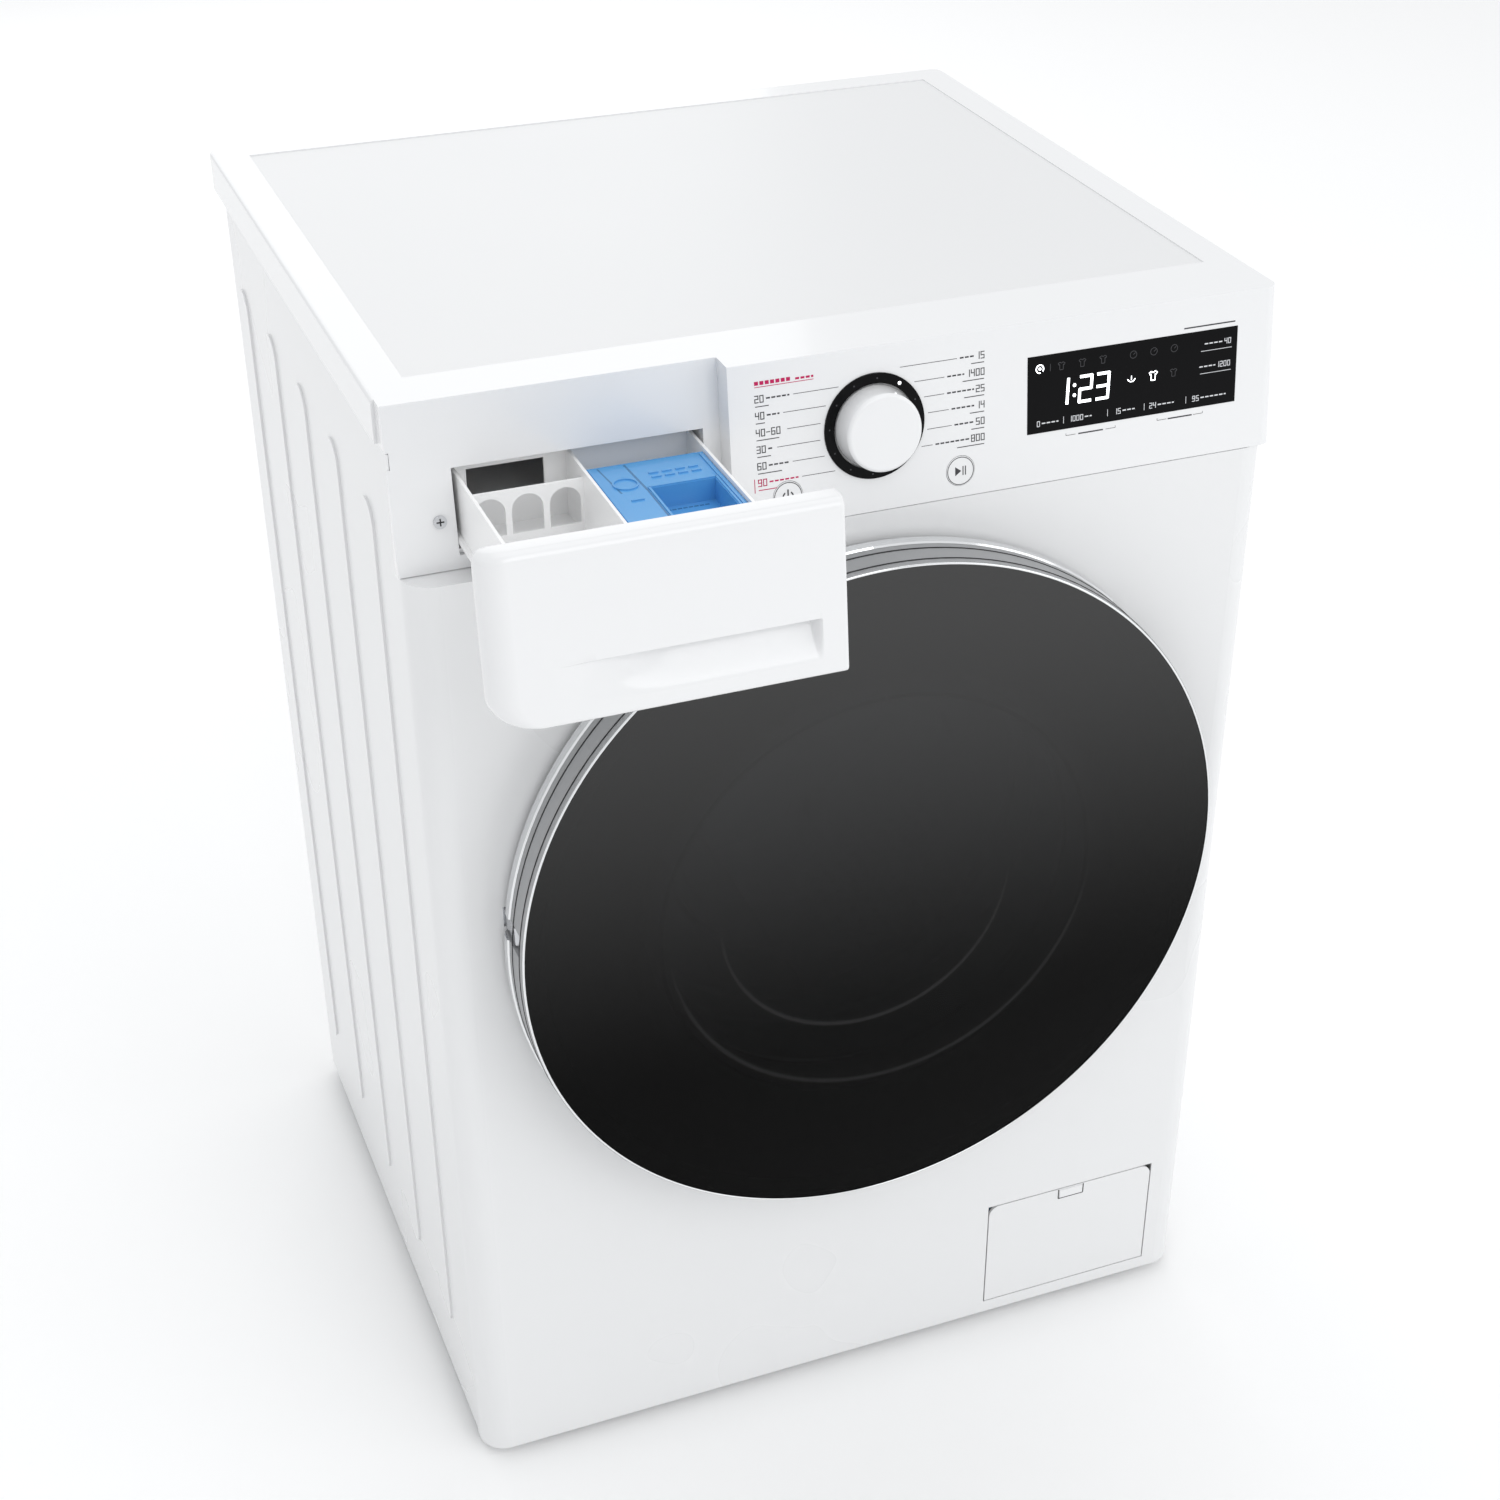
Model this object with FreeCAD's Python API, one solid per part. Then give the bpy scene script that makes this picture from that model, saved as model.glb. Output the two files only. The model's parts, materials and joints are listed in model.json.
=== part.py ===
"""Front load washing machine: cabinet, control panel, detergent drawer, door, tub, drum and drain.

Millimetres. The origin is on the floor, at the middle of the four feet. +X is to the right of a
person who faces the machine, +Y goes to its back, and +Z is up. The detergent drawer is pulled out
to its stop, and the door and the service flap are shut.
"""

import FreeCAD
import Part
import math
import os

V = FreeCAD.Vector

# Cabinet
WIDTH = 600.0
HEIGHT = 850.0
TOP_DEPTH = 507.0
REAR_OVERHANG = 34.0
CABINET_LEAD = 16.0
SIDE_INSET = 3.0
FLOOR_GAP = 12.0
SHEET = 1.2
TOP_SKIRT = 28.0
TOP_SEAT = 16.0
TOP_RIM = 26.0
TOP_LEDGE = 10.0
TOP_WALL = 2.6
BOARD_DROP = 0.7
RETURN_WIDTH = 18.0
RIB_WIDTH = 30.0
RIB_DEPTH = 1.6
RIB_COUNT = 5
RIB_PITCH = 96.5
RIB_LOW = 70.0
RIB_TOP_DROP = 86.0
BACK_CUT_MARGIN = 117.0
BACK_CUT_LOW = 180.0
BACK_CUT_TOP_DROP = 160.0
COVER_LAP = 12.0

# Front panel and control panel
FACE_LEAD = 42.0
CONTROL_HEIGHT = 107.0
LEAN = 6.2
PANEL_LOW = 8.0
PANEL_CORNER = 20.0
SEAM_GAP = 0.5
CONTROL_SIDE = 2.0
WALL = 3.0
RECESS_DEPTH = 18.0

# Knob, buttons and display: x from the drawer's right edge or the panel's right edge,
# height up the leaning face from the seam above the front panel
KNOB_X = 98.3
KNOB_HEIGHT = 56.6
RING_R = 34.0
RING_WALL = 6.5
RING_DEPTH = 3.0
RING_PROUD = 1.0
KNOB_R = 26.4
KNOB_TOP_R = 25.0
KNOB_PROUD = 18.0
KNOB_SHAFT_R = 3.0
RUNNING_GAP = 0.05
BUTTON_R = 9.8
BUTTON_GAP = 0.35
BUTTON_FLANGE = 2.2
BUTTON_PROUD = 0.2
BUTTON_TRAVEL = 0.8
POWER_X = 38.6
POWER_HEIGHT = 20.2
START_X = 157.5
START_HEIGHT = 17.9
DISPLAY_WIDTH = 153.0
DISPLAY_HEIGHT = 50.8
DISPLAY_RIGHT = 29.0
DISPLAY_LOW = 34.2
DISPLAY_THICK = 2.1

# Detergent drawer
DRAWER_OPEN = 190.0
FRONT_WIDTH = 207.0
FRONT_THICK = 16.5
FRONT_END_GAP = 2.0
FRONT_CORNER = 16.0
TRAY_WIDTH = 154.0
TRAY_INSET = 41.0
TRAY_HEIGHT = 46.0
TRAY_LENGTH = 217.0
TRAY_WALL = 2.0
TRAY_LIFT = 12.0
SLOT_GAP = 3.0
MAIN_SHARE_X = 74.0
DIVIDER_SETBACK = 38.0
SIPHON_LENGTH = 171.0
SIPHON_GAP = 0.35
SIPHON_SETBACK = 6.5
CUP_SETBACK = 78.0
CUP_LENGTH = 54.0
CUP_DEPTH = 14.0
CUP_LEFT = 30.0
CUP_RIGHT = 6.0
GRIP_LOW = 12.0
GRIP_HIGH = 34.0
GRIP_DEPTH = 10.0
GRIP_END = 17.0
GRIP_LENGTH = 156.0
HOUSING_WALL = 2.5
SLIDE_GAP = 0.3

# Door
DOOR_R = 255.0
DOOR_TOP_GAP = 17.5
DOOR_GAP = 2.0
DOOR_THICK = 42.0
BEZEL_WALL = 12.0
GLASS_THICK = 5.5
GLASS_RISE = 2.5
GLASS_GAP = 0.3
GLASS_LIP = 1.7
FRAME_INNER_R = 157.0
BOWL_DEPTH = 92.0
BOWL_WALL = 4.0
BOWL_TAPER = 36.0
TRIM_WALL = 1.2
TRIM_GAP = 0.12
HINGE_INSET = 6.0
HINGE_PIN_R = 2.2
HINGE_PIN_LOW = -3.0
HINGE_PIN_HIGH = 38.0
HINGE_ARM_Z = 25.0
HINGE_ARM_HALF = 6.7
HINGE_ARM_WIDTH = 7.0
HINGE_SLOT_GAP = 1.3
MOUTH_R = 176.0
MOUTH_LIP = 10.0
HOOK_X = 212.0
HOOK_LENGTH = 28.0
HOOK_PIN_R = 2.0
GRIP_HALF_ANGLE = 38.0

# Tub and drum
TUB_R = 266.0
TUB_WALL = 4.0
TUB_FRONT_GAP = 80.5
TUB_NECK = 21.0
TUB_NECK_R = 170.0
TUB_JOINT_Y = -23.0
TUB_FLANGE = 9.0
MOTOR_SPACE = 75.5
HUB_R = 42.0
HUB_LENGTH = 48.0
BEARING_R = 31.0
BEARING_WIDTH = 16.0
SHAFT_R = 15.0
DRUM_R = 246.0
DRUM_WALL = 1.2
DRUM_FRONT_GAP = 14.0
DRUM_BACK_GAP = 29.0
DRUM_MOUTH_R = 168.0
LIFTER_HEIGHT = 52.0
LIFTER_WIDTH = 64.0
LIFTER_LENGTH = 240.0
LIFTER_COUNT = 3
WEIGHT_THICK = 32.0
WEIGHT_INNER_R = 180.0
WEIGHT_OUTER_R = 255.0
ROTOR_R = 146.0
STATOR_R = 118.0
MAGNET_WALL = 6.0
TUB_CLEARANCE = 0.3
SPRING_X = 150.0
SPRING_Y = 77.0
SPRING_R = 10.0
DAMPER_X = 120.0
DAMPER_Y = -3.0
DAMPER_R = 14.0
DAMPER_ROD_R = 5.0
DAMPER_SPLIT = 0.55

# Service flap, filter, pump and pipes
FLAP_WIDTH = 144.0
FLAP_HEIGHT = 99.0
FLAP_RIGHT = 32.0
FLAP_LOW = 20.0
FLAP_THICK = 2.5
FLAP_GAP = 1.0
FLAP_PIN_R = 2.0
FLAP_PIN_RISE = 7.0
FLAP_PIN_BACK = 5.0
BAY_DEPTH = 58.0
BAY_WALL = 2.0
BAY_MARGIN = 4.0
FILTER_X_IN = 44.0
FILTER_Z = 66.0
FILTER_R = 25.0
FILTER_CAP_R = 30.0
PUMP_R = 30.0
PUMP_LENGTH = 86.0
PUMP_WALL = 3.0
IMPELLER_SHAFT_R = 3.0
HOSE_R = 20.0
HOSE_WALL = 3.0
HOSE_GRIP = 0.1
SUMP_SETBACK = 48.0
PIPE_X_OUT = 40.0
PIPE_R = 9.0
SPIGOT_R = 10.5
SPIGOT_LENGTH = 24.0
INLET_R = 13.2
INLET_LENGTH = 26.0
INLET_X = -180.0
INLET_DROP = 60.0
CORD_HOLE_R = 3.8
CORD_X = 230.0
FOOT_X = 262.0
FOOT_Y = 206.5
FOOT_R = 22.0
FOOT_PAD = 9.0
FOOT_STEM_R = 5.0
BASE_DEPTH = 25.0
PAN_HOLE = 75.0
TRANSIT_SIDE = 57.0
TRANSIT_HOLE_R = 12.0
TRANSIT_HEIGHTS = (300.0, 620.0)
SCREW_R = 4.2
SCREW_INSET = 13.0
SCREW_HEIGHT = 34.0
SCREW_PROUD = 1.2

# Worked out from the values above
Y_TOP_FRONT = -(TOP_DEPTH - REAR_OVERHANG) / 2
Y_TOP_BACK = Y_TOP_FRONT + TOP_DEPTH
Y_CAB_FRONT = Y_TOP_FRONT - CABINET_LEAD
Y_CAB_BACK = Y_TOP_BACK - REAR_OVERHANG
Y_FACE = Y_TOP_FRONT - FACE_LEAD
Y_FACE_IN = Y_FACE + SHEET
X_SIDE = WIDTH / 2 - SIDE_INSET
X_CONTROL = WIDTH / 2 - CONTROL_SIDE
Z_SKIRT = HEIGHT - TOP_SKIRT
Z_CAB_TOP = HEIGHT - TOP_SEAT
Z_NOTCH = Z_SKIRT - 2 * SEAM_GAP
Z_BOARD = Z_CAB_TOP + 4.0
Z_SEAM = HEIGHT - CONTROL_HEIGHT
AXIS_Z = Z_SEAM - DOOR_TOP_GAP - DOOR_R
Y_DOOR_BACK = Y_FACE - DOOR_GAP
Y_DOOR_FRONT = Y_DOOR_BACK - DOOR_THICK
X_FRONT_LEFT = -X_SIDE
X_FRONT_RIGHT = X_FRONT_LEFT + FRONT_WIDTH
X_RECESS = X_FRONT_RIGHT + FRONT_END_GAP
X_TRAY_LEFT = X_FRONT_LEFT + TRAY_INSET
X_TRAY_RIGHT = X_TRAY_LEFT + TRAY_WIDTH
X_PARTITION = X_TRAY_LEFT + MAIN_SHARE_X
Z_TRAY = Z_SEAM + TRAY_LIFT
Z_TRAY_TOP = Z_TRAY + TRAY_HEIGHT
Y_TRAY_FRONT = Y_FACE + FRONT_THICK - 4.0
Y_TRAY_BACK = Y_FACE + FRONT_THICK + TRAY_LENGTH
Y_HOUSING_BACK = Y_TRAY_BACK + 30.0
HINGE_X = -(DOOR_R - HINGE_INSET)
HINGE_Y = (Y_DOOR_BACK + Y_DOOR_FRONT) / 2
Y_GLASS_BACK = Y_DOOR_FRONT + GLASS_THICK
Y_FRAME_BACK = Y_DOOR_BACK - 0.5
Y_TUB_FRONT = Y_FACE + TUB_FRONT_GAP
Y_TUB_BACK = Y_CAB_BACK - MOTOR_SPACE
Y_HUB_FRONT = Y_TUB_BACK - 16.0
Y_HUB_BACK = Y_HUB_FRONT + HUB_LENGTH
Y_DRUM_FRONT = Y_TUB_FRONT + TUB_WALL + DRUM_FRONT_GAP
Y_DRUM_BACK = Y_TUB_BACK - TUB_WALL - DRUM_BACK_GAP
X_FLAP_RIGHT = X_SIDE - FLAP_RIGHT
X_FLAP_LEFT = X_FLAP_RIGHT - FLAP_WIDTH
Z_FLAP_TOP = FLAP_LOW + FLAP_HEIGHT
FLAP_PIN_Y = Y_FACE + FLAP_PIN_BACK
FLAP_PIN_Z = FLAP_LOW + FLAP_PIN_RISE
Y_BAY_BACK = Y_FACE_IN + BAY_DEPTH
FILTER_X = X_FLAP_LEFT + FILTER_X_IN
Y_PUMP_BACK = Y_BAY_BACK + PUMP_LENGTH
PIPE_X = FILTER_X + PIPE_X_OUT
Z_BASE = FLOOR_GAP + SHEET
INLET_Z = HEIGHT - INLET_DROP


def box(x0, x1, y0, y1, z0, z1):
    """A block between two values on each axis."""
    return Part.makeBox(x1 - x0, y1 - y0, z1 - z0, V(x0, y0, z0))


def rod(radius, start, end):
    """A cylinder from one point to another."""
    a = V(*start)
    b = V(*end)
    return Part.makeCylinder(radius, (b - a).Length, a, b - a)


def tube(outer, inner, start, end):
    """A cylinder with a hole right through it."""
    return rod(outer, start, end).cut(rod(inner, start, end))


def along_y(radius, y0, y1, x=0.0, z=AXIS_Z):
    """A cylinder along Y, on the drum's axis unless x and z say otherwise."""
    return rod(radius, (x, y0, z), (x, y1, z))


def turned(profile, z=AXIS_Z):
    """A ring or a disc: a closed outline of (radius, y) points turned about the drum's axis."""
    points = [V(0, y, z + r) for r, y in profile]
    face = Part.Face(Part.makePolygon(points + points[:1]))
    return face.revolve(V(0, 0, z), V(0, 1, 0), 360)


def prism_x(outline, x0, x1):
    """A closed outline of (y, z) points carried along X."""
    points = [V(x0, y, z) for y, z in outline]
    return Part.Face(Part.makePolygon(points + points[:1])).extrude(V(x1 - x0, 0, 0))


def prism_z(outline, z0, z1):
    """A closed outline of (x, y) points carried up Z."""
    points = [V(x, y, z0) for x, y in outline]
    return Part.Face(Part.makePolygon(points + points[:1])).extrude(V(0, 0, z1 - z0))


def joined(shapes):
    """All the shapes as one, with faces that lie in one plane merged."""
    first = shapes[0]
    for other in shapes[1:]:
        first = first.fuse(other)
    return first.removeSplitter()


def group(shapes):
    """Separate solids kept in one node."""
    return Part.makeCompound(shapes)


def round_edges(shape, radius, pick):
    """Fillets the edges for which pick(middle, direction) is true."""
    edges = []
    for edge in shape.Edges:
        ends = edge.Vertexes
        if len(ends) == 2:
            direction = (ends[1].Point - ends[0].Point).normalize()
            middle = (ends[1].Point + ends[0].Point) * 0.5
            if pick(middle, direction):
                edges.append(edge)
    return shape.makeFillet(radius, edges)


def lean(shape):
    """Tips a shape made on an upright face back to the control panel's lean, about the seam."""
    tipped = shape.copy()
    tipped.rotate(V(0, Y_FACE, Z_SEAM), V(1, 0, 0), -LEAN)
    return tipped


def lean_point(x, height, offset):
    """The place of a point that is height up the leaning face and offset behind it."""
    angle = math.radians(LEAN)
    y = Y_FACE + height * math.sin(angle) + offset * math.cos(angle)
    z = Z_SEAM + height * math.cos(angle) - offset * math.sin(angle)
    return (x, y, z)


def on_face(x0, x1, offset0, offset1, height0, height1):
    """A block laid on the leaning face: x, then depth behind the face, then height up it."""
    return lean(box(x0, x1, Y_FACE + offset0, Y_FACE + offset1, Z_SEAM + height0, Z_SEAM + height1))


def stud_on_face(radius, x, height, offset0, offset1):
    """A cylinder square to the leaning face."""
    return rod(radius, lean_point(x, height, offset0), lean_point(x, height, offset1))


def pulled_out(shape):
    """Moves a drawer piece from the closed drawer to the open one."""
    moved = shape.copy()
    moved.translate(V(0, -DRAWER_OPEN, 0))
    return moved


def outside_tub(shape):
    """Trims a shape back to just outside the tub's wall and its flange."""
    trimmed = shape.cut(along_y(TUB_R + TUB_CLEARANCE, Y_TUB_FRONT, Y_TUB_BACK))
    reach = TUB_R + TUB_FLANGE + TUB_CLEARANCE
    return trimmed.cut(along_y(reach, TUB_JOINT_Y - 6.5, TUB_JOINT_Y + 6.5))


def cabinet():
    """The folded sheet wrap: two sides with pressed ribs, a back with its opening, front returns."""
    shell = box(-X_SIDE, X_SIDE, Y_CAB_FRONT, Y_CAB_BACK, FLOOR_GAP, Z_CAB_TOP)
    inside = X_SIDE - SHEET
    shell = shell.cut(
        box(-inside, inside, Y_CAB_FRONT - 1, Y_CAB_BACK - SHEET, FLOOR_GAP - 1, Z_CAB_TOP + 1)
    )
    shell = shell.cut(
        box(-WIDTH, WIDTH, Y_CAB_FRONT - 1, Y_TOP_FRONT + TOP_WALL + SEAM_GAP, Z_NOTCH, HEIGHT)
    )
    cut_x = X_SIDE - BACK_CUT_MARGIN
    cut_top = HEIGHT - BACK_CUT_TOP_DROP
    shell = shell.cut(
        box(-cut_x, cut_x, Y_CAB_BACK - 5, Y_CAB_BACK + 5, BACK_CUT_LOW, cut_top)
    )
    holes = [along_y(INLET_R + 2, Y_CAB_BACK - 5, Y_CAB_BACK + 5, INLET_X, INLET_Z)]
    holes.append(along_y(SPIGOT_R + 2, Y_CAB_BACK - 5, Y_CAB_BACK + 5, PIPE_X, FILTER_Z))
    holes.append(along_y(CORD_HOLE_R + 4, Y_CAB_BACK - 5, Y_CAB_BACK + 5, CORD_X, INLET_Z))
    for x, z in transit_places():
        holes.append(along_y(TRANSIT_HOLE_R, Y_CAB_BACK - 5, Y_CAB_BACK + 5, x, z))
    for hole in holes:
        shell = shell.cut(hole)
    pieces = [shell]
    for side in (-1, 1):
        x0, x1 = sorted((side * inside, side * (inside - RETURN_WIDTH)))
        pieces.append(
            box(x0, x1, Y_CAB_FRONT, Y_CAB_FRONT + SHEET, FLOOR_GAP, Z_SEAM - SEAM_GAP)
        )
        for place in range(RIB_COUNT):
            y = Y_CAB_BACK - 34.5 - place * RIB_PITCH
            pieces.append(side_rib(side, y))
    return joined(pieces)


def side_rib(side, y):
    """One pressed rib with round ends, standing out of a side wall."""
    low = RIB_LOW + RIB_WIDTH / 2
    high = HEIGHT - RIB_TOP_DROP - RIB_WIDTH / 2
    x0 = side * X_SIDE
    x1 = side * (X_SIDE + RIB_DEPTH)
    middle = box(min(x0, x1), max(x0, x1), y - RIB_WIDTH / 2, y + RIB_WIDTH / 2, low, high)
    ends = [rod(RIB_WIDTH / 2, (x0, y, z), (x1, y, z)) for z in (low, high)]
    return joined([middle] + ends)


def transit_places():
    """Where the transit bolts went in at the back."""
    x = X_SIDE - TRANSIT_SIDE
    return [(side * x, z) for side in (-1, 1) for z in TRANSIT_HEIGHTS]


def base_pan():
    """The pressed pan under the machine, with its opening and the holes for the feet."""
    x = X_SIDE - SHEET
    y0 = Y_CAB_FRONT + SHEET
    y1 = Y_CAB_BACK - SHEET
    top = Z_BASE + BASE_DEPTH
    pan = box(-x, x, y0, y1, FLOOR_GAP, top)
    pan = pan.cut(box(-x + SHEET, x - SHEET, y0 + SHEET, y1 - SHEET, Z_BASE, top + 1))
    bay_x0 = X_FLAP_LEFT - BAY_MARGIN - 1
    pan = pan.cut(box(bay_x0, x + 1, y0 - 1, Y_BAY_BACK + 1, FLOOR_GAP - 1, top + 1))
    pan = pan.cut(box(-PAN_HOLE, PAN_HOLE, -PAN_HOLE, PAN_HOLE, FLOOR_GAP - 1, top))
    for sx in (-1, 1):
        for sy in (-1, 1):
            place = (sx * FOOT_X, sy * FOOT_Y)
            pan = pan.cut(rod(FOOT_STEM_R, (*place, 0), (*place, top)))
    return pan


def feet():
    """Four levelling feet: a pad, a nut under the pan and a threaded stem through it."""
    made = []
    for sx in (-1, 1):
        for sy in (-1, 1):
            x, y = sx * FOOT_X, sy * FOOT_Y
            pad = rod(FOOT_R, (x, y, 0), (x, y, FOOT_PAD))
            nut = rod(FOOT_STEM_R * 2, (x, y, FOOT_PAD), (x, y, FLOOR_GAP))
            stem = rod(FOOT_STEM_R - RUNNING_GAP, (x, y, FLOOR_GAP - 1), (x, y, FLOOR_GAP + 24))
            made.append(joined([pad, nut, stem]))
    return group(made)


def rear_cover():
    """The cover over the opening in the back."""
    x = X_SIDE - BACK_CUT_MARGIN + COVER_LAP
    z0 = BACK_CUT_LOW - COVER_LAP
    z1 = HEIGHT - BACK_CUT_TOP_DROP + COVER_LAP
    return box(-x, x, Y_CAB_BACK, Y_CAB_BACK + SHEET, z0, z1)


def screws():
    """The rear cover's screws and the one beside the drawer slot."""
    x = X_SIDE - BACK_CUT_MARGIN + COVER_LAP / 2
    z0 = BACK_CUT_LOW - COVER_LAP / 2
    z1 = HEIGHT - BACK_CUT_TOP_DROP + COVER_LAP / 2
    y = Y_CAB_BACK + SHEET
    made = []
    for sx in (-1, 0, 1):
        for z in (z0, (z0 + z1) / 2, z1):
            if sx or z != (z0 + z1) / 2:
                made.append(along_y(SCREW_R, y, y + 2.2, sx * x, z))
    x = X_TRAY_LEFT - SCREW_INSET
    made.append(
        stud_on_face(SCREW_R, x, SCREW_HEIGHT, RECESS_DEPTH - SCREW_PROUD, RECESS_DEPTH)
    )
    return group(made)


def top_frame():
    """The plastic frame round the top, with its skirt and the ledge that holds the board."""
    half = WIDTH / 2
    y0, y1 = Y_TOP_FRONT, Y_TOP_BACK
    frame = box(-half, half, y0, y1, Z_SKIRT, HEIGHT)
    frame = round_edges(frame, 9.0, lambda m, d: abs(d.z) > 0.9 and m.y > 0)
    frame = round_edges(frame, 3.0, lambda m, d: abs(m.z - HEIGHT) < 0.1 and m.y > y0 + 1)
    hollow = half - TOP_WALL
    frame = frame.cut(box(-hollow, hollow, y0 + TOP_WALL, y1 - TOP_WALL, Z_SKIRT - 1, Z_CAB_TOP))
    rim = half - TOP_RIM
    frame = frame.cut(box(-rim, rim, y0 + TOP_RIM, y1 - TOP_RIM, Z_BOARD, HEIGHT + 1))
    ledge = TOP_RIM + TOP_LEDGE
    inner = half - ledge
    return frame.cut(box(-inner, inner, y0 + ledge, y1 - ledge, Z_CAB_TOP - 1, Z_BOARD + 1))


def top_board():
    """The flat board laid in the frame, a little below its rim."""
    rim = WIDTH / 2 - TOP_RIM
    y0 = Y_TOP_FRONT + TOP_RIM
    y1 = Y_TOP_BACK - TOP_RIM
    return box(-rim, rim, y0, y1, Z_BOARD, HEIGHT - BOARD_DROP)


def top_brace():
    """The steel bar across the cabinet that the springs hang from."""
    x = X_SIDE - SHEET
    z0, z1 = Z_CAB_TOP - 16.0, Z_CAB_TOP - 1.0
    bar = box(-x, x, SPRING_Y - 20, SPRING_Y + 20, z0, z1)
    return bar.cut(box(-x - 1, x + 1, SPRING_Y - 18, SPRING_Y + 18, z0 + 2, z1 + 1))


def front_panel():
    """The deep pressed front: round side edges, the door mouth, and openings for flap and lock."""
    inside = X_SIDE - SHEET
    z1 = Z_SEAM
    panel = box(-X_SIDE, X_SIDE, Y_FACE, Y_CAB_FRONT, PANEL_LOW, z1)
    panel = round_edges(panel, PANEL_CORNER, lambda m, d: abs(d.z) > 0.9 and m.y < Y_FACE + 1)
    hollow = box(-inside, inside, Y_FACE_IN, Y_CAB_FRONT + 1, PANEL_LOW + SHEET, z1 - SHEET)
    hollow = round_edges(
        hollow, PANEL_CORNER - SHEET, lambda m, d: abs(d.z) > 0.9 and m.y < Y_FACE + 3
    )
    panel = panel.cut(hollow)
    panel = panel.cut(along_y(MOUTH_R, Y_FACE - 1, Y_FACE + 9))
    lip = turned(
        [
            (MOUTH_R, Y_FACE),
            (MOUTH_R + SHEET, Y_FACE),
            (MOUTH_R + SHEET, Y_FACE + MOUTH_LIP),
            (MOUTH_R, Y_FACE + MOUTH_LIP),
        ]
    )
    arm = HINGE_ARM_WIDTH / 2 + 1
    z = AXIS_Z + HINGE_ARM_Z
    gap = HINGE_ARM_HALF + 1
    panel = panel.cut(box(HINGE_X - arm, HINGE_X + arm, Y_FACE - 1, Y_FACE + 3, z - gap, z + gap))
    panel = panel.cut(
        box(HOOK_X - 9, HOOK_X + 15, Y_FACE - 1, Y_FACE + 3, AXIS_Z - 10, AXIS_Z + 10)
    )
    g = FLAP_GAP
    panel = panel.cut(
        box(X_FLAP_LEFT - g, X_FLAP_RIGHT + g, Y_FACE - 1, Y_FACE + 3, FLAP_LOW - g, Z_FLAP_TOP + g)
    )
    return joined([panel, lip])


def panel_outline(inset, back):
    """The control panel's side view, as (y, z) points; inset thins it and back deepens it."""
    slope = math.tan(math.radians(LEAN))
    low = Z_SEAM + SEAM_GAP + inset
    high = HEIGHT - inset
    lead = inset / math.cos(math.radians(LEAN))
    return [
        (Y_FACE + lead + (low - Z_SEAM) * slope, low),
        (Y_FACE + lead + (high - Z_SEAM) * slope, high),
        (Y_TOP_FRONT + back, high),
        (Y_TOP_FRONT + back, Z_SKIRT - SEAM_GAP),
        (Y_CAB_FRONT - SEAM_GAP + back, Z_SKIRT - SEAM_GAP),
        (Y_CAB_FRONT - SEAM_GAP + back, low),
    ]


def control_panel():
    """The leaning panel as a shell, set back on the left where the drawer's front sits."""
    outer = prism_x(panel_outline(0.0, 0.0), -X_CONTROL, X_CONTROL)
    outer = round_edges(outer, 8.0, lambda m, d: abs(d.z) > 0.9 and m.x > 0 and m.y < Y_CAB_FRONT - 5)
    inner = prism_x(panel_outline(WALL, 60.0), -X_CONTROL + WALL, X_CONTROL - WALL)
    shell = outer.cut(inner)
    shell = shell.cut(on_face(-WIDTH, X_RECESS, -20, RECESS_DEPTH, -5, CONTROL_HEIGHT + 20))
    inside = X_SIDE - SHEET - SLIDE_GAP
    wall = on_face(-inside, X_RECESS + WALL, RECESS_DEPTH, RECESS_DEPTH + WALL, -5, 120)
    side = on_face(X_RECESS, X_RECESS + WALL, 0, RECESS_DEPTH + WALL, -5, 120)
    bounds = box(-WIDTH, WIDTH, Y_FACE - 1, Y_TOP_FRONT, Z_SEAM + SEAM_GAP, HEIGHT)
    wall = wall.common(bounds)
    side = side.common(bounds)
    panel = joined([shell, wall, side])
    slot_x0 = X_TRAY_LEFT - SLOT_GAP
    slot_x1 = X_TRAY_RIGHT + SLOT_GAP
    z0, z1 = Z_TRAY - SLOT_GAP, Z_TRAY_TOP + 2 * SLOT_GAP
    panel = panel.cut(box(slot_x0, slot_x1, Y_FACE, Y_TOP_FRONT + 5, z0, z1))
    knob_x = X_FRONT_RIGHT + KNOB_X
    panel = panel.cut(stud_on_face(RING_R + 0.15, knob_x, KNOB_HEIGHT, -1, RING_DEPTH - RING_PROUD))
    panel = panel.cut(stud_on_face(KNOB_SHAFT_R + RUNNING_GAP, knob_x, KNOB_HEIGHT, -1, 5))
    for x, height in button_places():
        panel = panel.cut(stud_on_face(BUTTON_R + BUTTON_GAP, x, height, -1, 5))
    x1 = X_SIDE - DISPLAY_RIGHT + 0.15
    x0 = X_SIDE - DISPLAY_RIGHT - DISPLAY_WIDTH - 0.15
    low = DISPLAY_LOW - 0.15
    high = DISPLAY_LOW + DISPLAY_HEIGHT + 0.15
    return panel.cut(on_face(x0, x1, -5, DISPLAY_THICK, low, high))


def button_places():
    """The power button, then the start button: x and height up the face."""
    return [
        (X_FRONT_RIGHT + POWER_X, POWER_HEIGHT),
        (X_FRONT_RIGHT + START_X, START_HEIGHT),
    ]


def display_window():
    """The dark window over the display, in its pocket."""
    x1 = X_SIDE - DISPLAY_RIGHT
    x0 = x1 - DISPLAY_WIDTH
    return on_face(x0, x1, -0.2, DISPLAY_THICK, DISPLAY_LOW, DISPLAY_LOW + DISPLAY_HEIGHT)


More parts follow.
